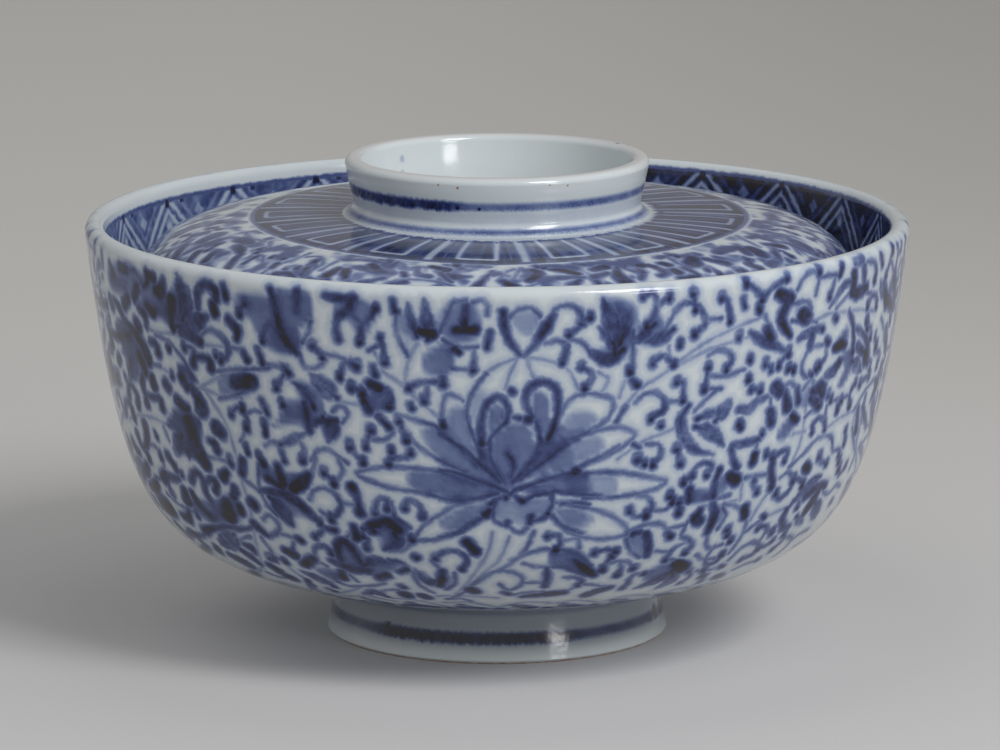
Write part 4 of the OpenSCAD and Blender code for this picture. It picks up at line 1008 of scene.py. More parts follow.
for points, radii, tones in [
        ([(4.8, 21.4), (4, 19.3), (3.9, 17.2), (4.6, 15.7), (5.8, 15), (7.2, 15.3), (8.2, 16.7), (8.4, 19),
         (8.2, 21.5), (7.7, 23.6), (7.1, 25.5)], (0.7, 0.8, 0.9, 0.8, 0.8), (0.72, 0.68, 0.74, 0.74, 0.84)),
        ([(-2.1, 26.1), (-2.2, 23.5), (-2, 21), (-1.5, 19.1), (-0.6, 17.9), (0.3, 17.6), (1.1, 18.4),
         (1.6, 20.1), (1.4, 21.8)], (1.05, 0.8, 0.7, 0.65, 0.7), (0.84, 0.66, 0.68, 0.66, 0.8)),
        ([(4.3, 21.8)], 1.2, 0.98), ([(2.3, 21.4), (3.2, 21.6)], (0.5, 0.7), (0.66, 0.8)),
        ([(1.3, 22.2), (0.2, 23.5), (-0.7, 24.9), (-1.3, 26.3)], (0.7, 0.45, 0.45, 0.6),
         (0.9, 0.64, 0.62, 0.66)),
        ([(5.4, 22.3), (5.9, 24.2), (6, 26.1), (5.4, 28)], (0.6, 0.6, 0.5), (0.7, 0.66, 0.6)),
        ([(-0.9, 25.2), (-1, 27.3), (-0.8, 29.5), (0.1, 31.6), (1.1, 33.8)], (0.45, 0.5, 0.45),
         (0.6, 0.62, 0.62)),
        ([(1.5, 28.2), (2.3, 29.5), (2.3, 31.2), (2, 32.5)], (0.75, 0.75, 0.45), (0.8, 0.74, 0.6)),
        ([(5.8, 27.8), (4.6, 30), (3.3, 32.1), (2.3, 33.4)], (0.6, 0.8, 0.6), (0.6, 0.62, 0.62)),
        ([(11.3, 25.7), (9, 27.2), (7, 29.4), (4.9, 31.3), (3.3, 33)], (0.5, 0.6, 0.6, 0.5),
         (0.62, 0.66, 0.66, 0.62)), ([(11.2, 31.7)], 1.25, 0.84),
        ([(11.9, 30.8), (13.4, 29.9), (15.5, 28.6), (17.3, 27.3)], (0.6, 0.5, 0.45), (0.6, 0.54, 0.5)),
        ([(10.7, 32), (9, 32.4), (6.6, 33.2), (4.3, 34.3), (2.5, 35)], (0.7, 0.5, 0.55, 0.6),
         (0.72, 0.62, 0.66, 0.74)),
        ([(15.1, 36.7), (12.5, 36.2), (10.3, 35.9), (8.3, 35.3)], (0.5, 0.6, 0.6), (0.58, 0.62, 0.66)),
        ([(13.5, 38.3), (11.4, 37.7), (9.4, 37.9)], (0.5, 0.6, 0.7), (0.6, 0.62, 0.72)),
        ([(8.2, 40.3), (9.3, 42), (10.9, 43.2), (12.8, 44.1)], (0.6, 0.5, 0.5), (0.66, 0.6, 0.58)),
        ([(-0.1, 36.9), (-0.6, 39), (-0.4, 41), (0.8, 42)], (0.6, 0.4, 0.4, 0.5), (0.7, 0.6, 0.56, 0.7)),
        ([(1.6, 41.3), (1.5, 42)], (0.85, 0.8), (0.74, 0.86)),
        ([(1.8, 42.2), (2.6, 43.2), (3.7, 43.4), (4.5, 42.5)], (0.5, 0.45, 0.5), (0.64, 0.6, 0.64)),
        ([(4.9, 40.4), (4.8, 41.6)], (0.95, 0.85), (0.74, 0.84)),
        ([(5, 41.3), (6.1, 41.1), (7.2, 40.4)], (0.6, 0.55, 0.6), (0.66, 0.66, 0.76)),
        ([(7.5, 39.8)], 0.72, 0.95),
        ([(7.6, 39.3), (8.1, 38), (7.9, 36.2), (8.1, 35.5)], (0.55, 0.5, 0.6), (0.7, 0.6, 0.66)),
        ([(1.3, 36.5)], 0.85, 1),
        ([(2.4, 35.2), (1.7, 36.1), (-0.1, 36.8), (-0.9, 37.8)], (0.6, 0.7, 0.6, 0.7),
         (0.7, 0.8, 0.66, 0.7)), ([(2.5, 36.2), (3.7, 37.2)], (0.5, 0.75), (0.66, 0.88)),
        ([(4, 37), (5.2, 36.2), (6.7, 35.8), (8, 35.9)], (0.55, 0.45, 0.45, 0.5), (0.7, 0.58, 0.58, 0.62)),
        ([(-8, 31.4), (-6.1, 31.6), (-4, 32.6), (-1.9, 33.6), (0.1, 34.5), (1.7, 35.6)],
         (0.5, 0.55, 0.6, 0.6), (0.56, 0.62, 0.66, 0.72)),
        ([(-8.2, 36.7), (-5.7, 37.3), (-3.9, 37), (-1.9, 36.3), (0.1, 35.7)], (0.5, 0.8, 0.6, 0.6),
         (0.58, 0.66, 0.64, 0.66)), ([(-1.7, 39.9), (-1.1, 39)], (1.15, 0.9), (0.86, 0.78)),
        ([(-8.6, 44.7), (-5.9, 43.7), (-3.7, 41.8), (-2.1, 40.4)], (0.5, 0.55, 0.7), (0.56, 0.6, 0.7)),
        ([(-7.9, 24.5), (-6, 26.1), (-4.3, 27.8), (-2.7, 29.7), (-1.1, 31.6), (0.4, 33.4)], (0.5, 0.6, 0.6),
         (0.56, 0.62, 0.64))]:
    wall.stroke(points, radii, tones)
# The back, and both sides, where the scroll turns out of sight
wall.again(180.0)
for turn in (52.0, 232.0):
    wall.again(turn, 20.0, 57.0, clear=1.9)
# The underside, down to a line round the foot
for step in range(36):
    turn, lean = 10.0 * step - 85.0, wall.chance.uniform(-2.2, 2.2)
    wall.vine((turn - 5.0, 66.0 + lean), (turn, 64.0), (turn + 5.0, 66.4 - lean))
    wall.leaf((turn - 2.0, 66.0), (turn + lean, 68.2), (turn + 3.4, 69.6), wide=1.5)
    wall.hook((turn - 4.6, 70.2), (turn - 2.0, 71.8 + lean * 0.4), (turn + 1.6, 70.6))
    wall.curl((turn - 3.0, 76.4), (turn + lean, 74.0), (turn + 3.6, 75.6))
    wall.dot((turn + 4.4, 72.6), (turn + 5.0, 73.4))
    wall.leaf((turn - 4.0, 80.6), (turn, 78.8), (turn + 4.6, 79.4), wide=1.2)
    wall.stroke([(turn - 5.0, 85.2), (turn, 85.0), (turn + 5.0, 85.2)], (0.34, 0.46, 0.34), (0.66, 0.8, 0.66))


marks_each = 10


def lay_ink(piece, painting):
    """Writes on each face of the piece the marks that lie nearest to it, for its glaze to draw, and on each
    of its points how deep a wash lies there. Sizes are written in mm."""
    marks_tried, too_far, wash_edge, skin = 40, 1.6, 0.9, 1.2 * mm
    marks = np.array(painting.marks)
    starts, ends, radii, tones = marks[:, 0:3] / mm, marks[:, 3:6] / mm, marks[:, 6:8] / mm, marks[:, 8:10]
    middles = (starts + ends) / 2
    tree = KDTree(len(middles))
    for i, middle in enumerate(middles):
        tree.insert(middle, i)
    tree.balance()
    mesh = piece.data
    centres = np.zeros(3 * len(mesh.polygons))
    mesh.polygons.foreach_get("center", centres)
    centres = centres.reshape(-1, 3) / mm
    near = np.array([[found[1] for found in tree.find_n(centre, marks_tried)] for centre in centres])
    along = (ends - starts)[near]
    away = centres[:, None, :] - starts[near]
    share = np.clip((away * along).sum(-1) / ((along * along).sum(-1) + 1e-9), 0.0, 1.0)
    radius = radii[near, 0] + share * (radii[near, 1] - radii[near, 0])
    gap = np.linalg.norm(away - along * share[..., None], axis=-1) - radius
    order = np.argsort(gap, axis=1)[:, :marks_each]
    chosen = np.take_along_axis(near, order, axis=1)
    close = np.take_along_axis(gap, order, axis=1) < too_far
    nowhere = np.array([0.0, 0.0, 9000.0])
    for k in range(marks_each):
        c, on = chosen[:, k], close[:, k]
        start = np.where(on[:, None], starts[c], nowhere)
        grow = np.where(on, radii[c, 1] - radii[c, 0], 0.0)
        run = np.where(on[:, None], ends[c] - starts[c], (0.0, 0.0, 1.0))
        for name, values in (("start", np.c_[start, radii[c, 0]]), ("run", np.c_[run, grow])):
            made = mesh.attributes.new(f"{name}_{k}", 'FLOAT_COLOR', 'FACE')
            made.data.foreach_set("color", values.astype(np.float32).ravel())
    for k in range(0, marks_each, 2):
        values = np.c_[tones[chosen[:, k]], tones[chosen[:, k + 1]]]
        made = mesh.attributes.new(f"tone_{k}", 'FLOAT_COLOR', 'FACE')
        made.data.foreach_set("color", values.astype(np.float32).ravel())
    spots = np.zeros(3 * len(mesh.vertices))
    mesh.vertices.foreach_get("co", spots)
    spots = spots.reshape(-1, 3)
    wash = np.zeros(len(spots))
    line = painting.place(np.zeros(400), np.linspace(-4.0, 96.0, 400))
    line = np.c_[np.hypot(line[:, 0], line[:, 1]), line[:, 2]]
    section = np.c_[np.hypot(spots[:, 0], spots[:, 1]), spots[:, 2]]
    painted = np.array([np.hypot(*(line - point).T).min() < skin for point in section])
    for outline, tone in painting.washes:
        edge = painting.place(outline[:, 0], outline[:, 1])
        middle = edge.mean(axis=0)
        out = middle / np.linalg.norm(middle)
        side = np.cross(out, (0.0, 0.0, 1.0))
        side /= np.linalg.norm(side)
        up = np.cross(side, out)
        reach = np.linalg.norm(edge - middle, axis=1).max() + 1.5 * mm
        at = np.flatnonzero(painted & (np.linalg.norm(spots - middle, axis=1) < reach))
        if not len(at):
            continue
        a = np.stack([(edge - middle) @ side, (edge - middle) @ up], axis=1) / mm
        b = np.roll(a, -1, axis=0)
        d = b - a
        here = np.stack([(spots[at] - middle) @ side, (spots[at] - middle) @ up], axis=1) / mm
        t = np.clip(((here[:, None] - a) * d).sum(-1) / ((d * d).sum(-1) + 1e-12), 0.0, 1.0)
        far = np.linalg.norm(here[:, None] - a - t[..., None] * d, axis=-1).min(axis=1)
        crosses = (a[:, 1] > here[:, None, 1]) != (b[:, 1] > here[:, None, 1])
        at_x = a[:, 0] + (here[:, None, 1] - a[:, 1]) * d[:, 0] / np.where(d[:, 1] == 0, 1e-12, d[:, 1])
        within = (crosses & (here[:, None, 0] < at_x)).sum(axis=1) % 2 == 1
        depth = np.clip(0.5 + np.where(within, far, -far) / wash_edge, 0.0, 1.0)
        wash[at] = np.maximum(wash[at], tone * depth)
    made = mesh.attributes.new("wash", 'FLOAT', 'POINT')
    made.data.foreach_set("value", wash.astype(np.float32))


class Worth:
    """What a socket gives from point to point of a surface. Python expressions on it add Math nodes."""

    def __init__(self, tree, socket=None):
        self.tree = tree
        self.socket = socket

    def node(self, kind, settings=None, values=None, output=0):
        """Adds a node, sets it, feeds its sockets with values or with other worths, and gives an output."""
        made = self.tree.nodes.new(kind)
        for name, setting in (settings or {}).items():
            if name == "stops":
                stops = made.color_ramp.elements
                for _ in setting[2:]:
                    stops.new(0.5)
                for stop, (position, colour) in zip(stops, setting):
                    stop.position = position
                    stop.color = colour
            else:
                setattr(made, name, setting)
        for name, value in (values or {}).items():
            if isinstance(value, Worth):
                self.tree.links.new(value.socket, made.inputs[name])
            else:
                made.inputs[name].default_value = value
        return Worth(self.tree, made.outputs[output] if made.outputs else None)

    def maths(self, operation, *values):
        return self.node('ShaderNodeMath', {"operation": operation}, dict(enumerate(values)))

    def __add__(self, other):
        return self.maths('ADD', self, other)

    def __sub__(self, other):
        return self.maths('SUBTRACT', self, other)

    def __rsub__(self, other):
        return self.maths('SUBTRACT', other, self)

    def __mul__(self, other):
        return self.maths('MULTIPLY', self, other)

    def __truediv__(self, other):
        return self.maths('DIVIDE', self, other)

    __radd__ = __add__
    __rmul__ = __mul__

    def times_plus(self, factor, more):
        return self.maths('MULTIPLY_ADD', self, factor, more)

    def eased(self, start, end):
        """0 up to start and 1 past end, with a soft step between."""
        return self.node('ShaderNodeMapRange', {"interpolation_type": 'SMOOTHSTEP'},
                         {"Value": self, "From Min": start, "From Max": end})

    def vector(self, operation, other=None, output=0, scale=None):
        values = {0: self}
        if other is not None:
            values[1] = other
        if scale is not None:
            values["Scale"] = scale
        return self.node('ShaderNodeVectorMath', {"operation": operation}, values, output)

    def mottled(self, across, detail=2.0, roughness=0.5):
        """Cloudy noise, about across mm from patch to patch, between 0 and 1 round a half."""
        return self.node('ShaderNodeTexNoise', {"noise_dimensions": '3D'},
                         {"Vector": self, "Scale": 1.0 / across, "Detail": detail, "Roughness": roughness})

    def axis(self, number):
        return self.node('ShaderNodeSeparateXYZ', None, {0: self}, number)

    def out(self):
        """Distance from the turning axis."""
        return self.maths('SQRT', self.axis(0).maths('MULTIPLY_ADD', self.axis(0), self.axis(0),
                                                     self.axis(1) * self.axis(1)))

    def turn(self):
        """Degrees round the axis, 0 in front and growing to the right."""
        return self.maths('ARCTAN2', self.axis(0), self.axis(1) * -1.0) * 57.2958

    def near(self, other, reach, edge=0.25):
        """1 where this is nearer than reach to the other number, with a soft edge."""
        return self.maths('ABSOLUTE', self - other).eased(reach + edge, reach - edge)

    def folded(self, period):
        """How far this is from the nearest whole number of periods."""
        return self.maths('PINGPONG', self, period / 2)

    def joined(self, y, z):
        return self.node('ShaderNodeCombineXYZ', None, {"X": self, "Y": y, "Z": z})

    def attribute(self, name, output):
        return self.node('ShaderNodeAttribute', {"attribute_name": name}, None, output)


def srgb(red, green, blue):
    """A colour given as a screen shows it, from 0 to 255, as the linear colour that a shader takes."""
    def linear(level):
        level /= 255.0
        return level / 12.92 if level <= 0.04045 else ((level + 0.055) / 1.055) ** 2.4
    return (linear(red), linear(green), linear(blue), 1.0)


glaze_stops = [(0.0, srgb(188, 195, 197)), (0.28, srgb(131, 144, 170)), (0.44, srgb(93, 107, 145)),
               (0.60, srgb(58, 71, 116)), (0.76, srgb(34, 43, 86)), (0.91, srgb(15, 19, 47)),
               (1.0, srgb(20, 17, 22))]
bare_clay = srgb(150, 112, 82)
# The colour that multiplies the glaze where shade is painted on.
painted_shade_tint = (0.37, 0.39, 0.44, 1.0)
worn_tint = (0.93, 0.86, 0.85, 1.0)
gloss, dull_more = 0.13, 0.27


def glazed(total, spot, material, bare=0.0, worn=None, painted_shade=None):
    """Clear glaze over white porcelain and cobalt: from bare through pale and strong blue to brown-black.
    Where bare is 1 the clay has no glaze and is a warm brown, where worn is 1 the gloss
    has gone, and where the last one is 1 the colour is darkened as painted shade."""
    colour = total.node('ShaderNodeValToRGB', {"stops": glaze_stops}, {"Fac": total})
    colour = colour.node('ShaderNodeMix', {"data_type": 'RGBA'}, {0: bare, 6: colour, 7: bare_clay}, 2)
    rough = gloss
    if painted_shade is not None:
        colour = colour.node('ShaderNodeMix', {"data_type": 'RGBA', "blend_type": 'MULTIPLY'},
                             {0: painted_shade, 6: colour, 7: painted_shade_tint}, 2)
    if worn is not None:
        colour = colour.node('ShaderNodeMix', {"data_type": 'RGBA', "blend_type": 'MULTIPLY'},
                             {0: worn, 6: colour, 7: worn_tint}, 2)
        rough = worn.times_plus(dull_more, gloss)
    orange_peel = spot.mottled(3.0, detail=2.0)
    relief = orange_peel.node('ShaderNodeBump', None,
                              {"Strength": 0.10, "Distance": 0.0004, "Height": orange_peel})
    shader = colour.node('ShaderNodeBsdfPrincipled', None,
                         {"Base Color": colour, "Roughness": rough, "IOR": 1.5, "Normal": relief})
    shader.node('ShaderNodeOutputMaterial', None, {"Surface": shader})


def painted_porcelain(name, pattern):
    """Porcelain with brush marks under its glaze. The marks come from what lay_ink wrote on the faces, and
    pattern gives more paint from a place in mm and a small wobble."""
    material = bpy.data.materials.new(name)
    material.use_nodes = True
    tree = material.node_tree
    tree.nodes.clear()
    start = Worth(tree)
    spot = start.node('ShaderNodeTexCoord', None, None, "Object").vector('SCALE', scale=1.0 / mm)
    grain = spot.mottled(0.34, detail=1.0)
    spread = spot.mottled(1.5, detail=2.0)
    wobble = spread.times_plus(1.3, -0.65) + grain.times_plus(0.36, -0.18)
    ink = None
    for k in range(marks_each):
        begin = start.attribute(f"start_{k}", "Color")
        radius = start.attribute(f"start_{k}", "Alpha")
        run = start.attribute(f"run_{k}", "Color")
        grow = start.attribute(f"run_{k}", "Alpha")
        away = spot.vector('SUBTRACT', begin)
        share = start.node('ShaderNodeMath', {"operation": 'DIVIDE', "use_clamp": True},
                           {0: away.vector('DOT_PRODUCT', run, "Value"),
                            1: run.vector('DOT_PRODUCT', run, "Value")})
        nearest = run.vector('SCALE', scale=share)
        gap = away.vector('DISTANCE', nearest, "Value") - grow.times_plus(share, radius) + wobble - 0.12
        tones = start.attribute(f"tone_{k - k % 2}", "Color")
        parts = tones.node('ShaderNodeSeparateColor', None, {0: tones}, 0 if k % 2 == 0 else 2)
        if k % 2 == 0:
            last = parts.socket.node.outputs[1]
        else:
            last = start.attribute(f"tone_{k - 1}", "Alpha").socket
        tone = (Worth(tree, last) - parts).times_plus(share, parts)
        cover = gap.eased(0.80, -0.70)
        rim = tone.maths('MINIMUM', tone, 0.58)
        pool = gap.eased(-0.30, -1.15)
        amount = (tone - rim).times_plus(pool, rim) * cover
        amount = amount.maths('MAXIMUM', amount, gap.eased(1.7, 0.1) * 0.13)
        ink = amount if ink is None else ink.maths('MAXIMUM', ink, amount)
    wash = start.attribute("wash", "Fac")
    cloud = spot.mottled(4.5, detail=3.0, roughness=0.6)
    wash = wash * cloud.times_plus(0.44, 0.78)
    ink = ink * (cloud.times_plus(0.8, 0.6) + spread.times_plus(0.8, -0.4) + grain.times_plus(0.3, -0.15))
    total = ink.maths('MAXIMUM', ink, wash) + ink.maths('MINIMUM', ink, wash) * 0.3 + cloud * 0.05
    glazed(total.maths('MAXIMUM', total, pattern(spot, wobble)), spot, material)
    return material


def zigzag_border(spot, wobble):
    """The border inside the mouth: a line, higher on the right, and under it 23 zigzags of double white
    lines left in the blue, with a pool on each peak and a white lozenge under and between the peaks. The
    blue is painted darker towards the right: painted shade on that side of the inside wall."""
    zigzag = 360.0 / 23.0
    down = 74.1 - spot.axis(2) + spot.axis(0).eased(-45.0, 30.0) * 1.5 + wobble * 0.5
    turn = spot.turn() + 119.5 + wobble * 0.5
    off = turn.folded(zigzag) / 7.826
    slant = (down - off * 9.4 - 1.3) * 0.72
    white = slant.near(-0.98, 0.50, 0.46) + slant.near(0.98, 0.50, 0.46)
    white = white + slant.near(2.9, 0.40, 0.5) * 0.55 + slant.near(-3.0, 0.36, 0.5) * 0.45
    under = off * 9.7 + slant.maths('ABSOLUTE', down - 5.0)
    between = (1.0 - off) * 9.7 + slant.maths('ABSOLUTE', down - 3.6)
    white = white + under.eased(1.8, 0.8) * 0.6 + between.eased(2.0, 0.9) * 0.7
    # Painted shade: the blue deepens from the left of the mouth to the right.
    blue = spot.mottled(2.6).times_plus(0.9, 0.34) * spot.axis(0).eased(-62.0, 62.0).times_plus(0.54, 0.72)
    blue = blue * white.maths('MINIMUM', white, 1.0).times_plus(-0.68, 1.0)
    line = down.near(0.6, 0.55, 0.4) * 0.60
    blue = blue.maths('MAXIMUM', blue * down.eased(0.4, 1.0), line)
    peak = (off * 9.7).eased(1.0, 0.45) * down.near(1.1, 0.9, 0.5)
    beside = (turn + 3.9).folded(zigzag).eased(0.75, 0.3) * down.near(1.2, 0.5, 0.4) * 0.84
    blue = blue.maths('MAXIMUM', blue, peak.maths('MAXIMUM', peak * 0.92, beside))
    floor_line = down.near(11.6, 0.35, 0.3) * 0.62
    blue = blue.maths('MAXIMUM', blue * down.eased(11.2, 10.6), floor_line)
    return blue * spot.out().eased(73.0, 72.4) * down.eased(-0.6, 0.5)


lay_ink(bowl, wall)
bowl.data.materials.append(painted_porcelain("painted_porcelain_bowl", zigzag_border))
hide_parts("bowl_body")
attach(bowl, "bowl")


# ---- Foot ring ----
# The turned ring that the bowl stands on, joined to its underside while the clay was leather-hard.
# Glazed, with a broad cobalt band and a thin line over it, both laid on as the bowl turned on the wheel.
# The edge on the table is bare. Above it the glaze is painted darker, from about 1 mm up and fully from 4 mm
# up: painted shade under the bowl's belly.
foot_outline = np.vstack([
    [(26.2, 10.3), (26.2, 5.0), (26.2, 0.6), (26.8, 0.0), (30.6, 0.0), (31.2, 0.6),
     (31.1, 1.1), (30.96, 1.8), (30.72, 3.0), (30.45, 4.2), (30.2, 5.4), (29.98, 6.5), (29.8, 7.5)],
    arc((31.2, 8.7), 1.6, 180.0, 105.0, 8),
    [(30.786, 10.3), (26.2, 10.3)],
])
foot = turned("foot_ring_banded", foot_outline, 240)


def banded_porcelain(name, bands, blots, inner, rust=(), bare_below=-9.0, worn_above=900.0, painted_shade_from=900.0):
    """Porcelain with cobalt bands round its outside, farther out than inner. A band has its height, half
    its width, its tone, the turn where the brush was fullest, and how many degrees that lasts to either
    side. A blot has its turn, distance from the axis, height, radius and tone, and a spot of rust all but
    the tone."""
    material = bpy.data.materials.new(name)
    material.use_nodes = True
    tree = material.node_tree
    tree.nodes.clear()
    spot = Worth(tree).node('ShaderNodeTexCoord', None, None, "Object").vector('SCALE', scale=1.0 / mm)
    turn, up = spot.turn(), spot.axis(2)
    grain = spot.mottled(0.34, detail=1.0)
    cloud = spot.mottled(3.2, detail=3.0)
    hatch = (turn * 0.55).joined(up * 0.35, 0.0).mottled(1.0, detail=3.0)
    total = grain * 0.0
    for height, half, tone, full_turn, full_reach in bands:
        full = turn.near(full_turn, full_reach, 6.0)
        edge = (hatch - 0.5) * full.times_plus(0.9, 0.06) + (grain - 0.5) * 0.4
        paint = (up + edge).near(height, full.times_plus(0.22, half), 0.56)
        shade = (hatch - 0.5) * full.times_plus(0.6, 0.1) + (grain - 0.5) * 0.3 + (cloud - 0.5) * 0.5
        total = total.maths('MAXIMUM', total, paint * (shade * min(1.0, 1.5 * tone) + full * 0.27 + tone))
    total = total * spot.out().eased(inner - 0.2, inner + 0.2)

    def blot(turn, out, height, radius):
        a = math.radians(turn)
        gap = spot.vector('DISTANCE', (out * math.sin(a), -out * math.cos(a), height), "Value")
        return (gap + (grain - 0.5) * radius + (cloud - 0.5) * radius).eased(1.15 * radius, 0.35 * radius)

    for *place, tone in blots:
        total = total.maths('MAXIMUM', total, blot(*place) * tone)
    worn = up.eased(worn_above, worn_above + 0.5)
    # Painted shade: the glaze grows darker over 3.4 mm above the given height.
    painted_shade = up.eased(painted_shade_from, painted_shade_from + 3.4)
    bare = (up + (spot.mottled(1.2) - 0.5) * 0.5).eased(bare_below + 0.3, bare_below)
    for place in rust:
        bare = bare.maths('MAXIMUM', bare, blot(*place))
    glazed(total, spot, material, bare, worn, painted_shade)
    return material


foot.data.materials.append(banded_porcelain(
    "banded_porcelain_foot",
    [(4.55, 0.80, 0.58, -9.0, 36.0), (8.9, 0.25, 0.20, 180.0, 1.0)],
    [(66.0, 30.4, 4.6, 1.3, 0.8), (72.0, 30.4, 4.9, 1.5, 1.0), (79.0, 30.4, 5.0, 1.5, 1.0),
     (-69.0, 30.4, 4.6, 0.8, 0.9), (-41.0, 30.4, 5.2, 1.1, 0.95)], 28.0, bare_below=0.05, painted_shade_from=0.8))
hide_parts("foot_ring")
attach(foot, "bowl")




# ---- Lid dome ----
# The thrown porcelain lid, a flat crown with a falling shoulder, dropped a little way into the mouth.
# Rays of cobalt run out from the grip to a ring line, and sprays of leaves fill the shoulder outside it.
dome_handles = [(27.7, 77.2), (63.915, 77.2), (63.309, 72.165), (68.854, 59.71)]
lid_thick = 3.0
lid_edge = arc((67.483, 59.1), 1.5, 24.0, -156.0, 10)
dome_fine = bend(dome_handles, 400)
lid_outline = np.vstack([
    [(0.0, 77.2), (12.0, 77.2), (20.0, 77.2)],
    even(dome_fine, 0.9),
    lid_edge[1:-1],
    even(set_in(dome_fine, -lid_thick)[::-1], 2.5),
    [(14.0, 74.2), (0.0, 74.2)],
])
lid = turned("lid_dome_painted", lid_outline, 480)

# Sprays of leaves and curls on the shoulder, in mm out along the dome from the foot of the grip
shoulder = Painting(chart_of(dome_fine, 0))
for path, radii, tone in [
        ([(-30.4, 27.2), (-31.2, 29.8)], (0.9, 1.1), 1), ([(-28.8, 27.4), (-27.4, 30)], (1, 0.9), 1),
        ([(-27, 25.8), (-23, 26.6), (-19, 27.4)], (0.9, 1.2, 0.5), 0.66),
        ([(-25, 24), (-23.4, 25.8)], (0.9, 1), 0.84),
        ([(-31, 23), (-28, 22), (-24, 22.6)], (0.6, 0.8), 0.62),
        ([(-20.6, 22), (-20.8, 24.2)], (0.4, 0.6), 0.7),
        ([(-19.6, 23), (-17.6, 25), (-15.6, 24.2)], (0.9, 0.8), 0.5),
        ([(-17.6, 26.6), (-16.8, 28)], (0.7, 0.7), 0.92),
        ([(-15.4, 25), (-14.4, 27.2), (-12.4, 27.8)], (0.5, 0.8), 0.62),
        ([(-24, 31.2), (-22.4, 30.6), (-20.4, 29.3)], (0.7, 0.6), 0.68),
        ([(-18.4, 31.2), (-16.2, 30.2)], (0.9, 0.8), 0.84),
        ([(-12.8, 23.4), (-9.6, 24.8)], (0.8, 1.1), 0.98),
        ([(-11, 25), (-9.6, 27.6), (-8, 29.6)], (0.8, 0.4), 0.66),
        ([(-9, 26.6), (-7, 27.8), (-5, 27.4)], (0.7, 1.1, 0.5), 0.72),
        ([(-3.4, 31), (-2.4, 28.6), (-0.8, 25)], (1, 0.6, 0.5), 0.86),
        ([(-5.8, 22.4), (-1.8, 22.8)], (0.8, 0.7), 0.52),
        ([(-41.6, 31.6), (-39.4, 30.9), (-37, 31.6)], (0.8, 0.9, 0.6), 0.84),
        ([(-43.8, 28.6), (-43.7, 29.6)], (0.9, 0.9), 0.9),
        ([(-60.6, 25.6), (-57.6, 26.4), (-55.6, 27.6)], (1.1, 1.2, 0.6), 0.84),
        ([(-62, 29.6), (-60.8, 32.2)], (0.9, 1), 0.84), ([(-66.4, 31), (-65, 33.6)], (1, 1), 0.84),
        ([(-64.4, 22.8), (-60.4, 23.4)], (1.5, 1.2), 0.7), ([(-73.4, 25), (-72, 28.2)], (1.6, 1.4), 0.7),
        ([(-73, 32), (-71, 34.2)], (1.1, 1.2), 0.8),
        ([(-55, 28), (-54.2, 30), (-53, 32.2)], (0.8, 0.9), 0.8),
        ([(-69, 28), (-69.6, 32.4)], (0.8, 0.7), 0.62), ([(1, 29.2), (2.8, 31)], (1, 1.2), 1),
        ([(5.8, 28.8), (7.6, 26.4), (7, 24.8)], (1, 1.2, 0.9), 0.82),
        ([(10.4, 24.6), (13, 25.4), (15, 27)], (0.7, 1.1, 0.8), 0.94),
        ([(9.4, 28.6), (12, 28.2), (15.6, 28.4)], (0.8, 0.6), 0.6),
        ([(13, 30.9), (14.6, 29.4)], (1, 0.7), 0.8), ([(18.6, 25.6), (21, 24.6)], (1, 1.2), 0.9),
        ([(17.8, 28.4), (20.4, 27.4)], (1, 0.9), 0.84),
        ([(22.6, 27), (22, 28.8), (22.8, 31)], (0.9, 1.3, 1.4), 1),
        ([(22.8, 26.8), (23.4, 25.2)], (0.8, 0.6), 0.8),
        ([(25.6, 24.4), (24.8, 26), (26.8, 28.6), (25.8, 30.2)], (0.5, 0.7, 0.7), 0.72),
        ([(28, 24.6), (30.4, 26), (31.4, 29), (30, 29.8)], (0.6, 0.9, 0.7), 0.8),
        ([(33.2, 25.4), (33.7, 26.2)], (1, 1), 0.84), ([(33.7, 28.6), (33.9, 29.4)], (1, 1.1), 1),
        ([(33.2, 31.2), (36.8, 31.4)], (0.8, 0.7), 0.86), ([(36.2, 28.2), (37.4, 31)], (0.6, 0.6), 0.7),
        ([(39.4, 26.8), (41, 24.8)], (1.7, 1.3), 0.9), ([(39, 23.2), (43.4, 23.4)], (0.9, 1), 0.56),
        ([(43.2, 26), (45.8, 28.8)], (0.9, 1.1), 0.76), ([(50.2, 30.4), (51.4, 32.2)], (0.9, 1), 0.8),
        ([(48.8, 24.4), (52, 23.6), (55.4, 24.4), (54.4, 27.2)], (1.1, 1.5, 1.2, 1), 0.72),
        ([(57.8, 26), (57.2, 28.4)], (1.4, 1.7), 0.84), ([(63.6, 26), (66, 28.2)], (0.9, 1.1), 0.78),
        ([(55, 31.8), (58, 31.4), (60, 30.2), (61.4, 29)], (1.1, 0.9, 0.6), 0.72),
        ([(65.4, 22.2), (67.6, 22.8), (67, 24.4)], (0.9, 1, 0.7), 0.66),
        ([(72.4, 28.6), (72, 31.4)], (1.4, 1.3), 0.7), ([(22, 21.8), (23.6, 22.8)], (0.9, 0.8), 0.6),
        ([(16, 22.4), (17.4, 22.8)], (0.9, 0.9), 0.7), ([(34.4, 22.6), (35.6, 22.2)], (0.8, 0.8), 0.66),
        ([(70.4, 24.2), (73.4, 26.4)], (1.3, 1.2), 0.56)]:
    shoulder.stroke(path, [1.25 * radius for radius in radii], (tone * 0.92, tone))
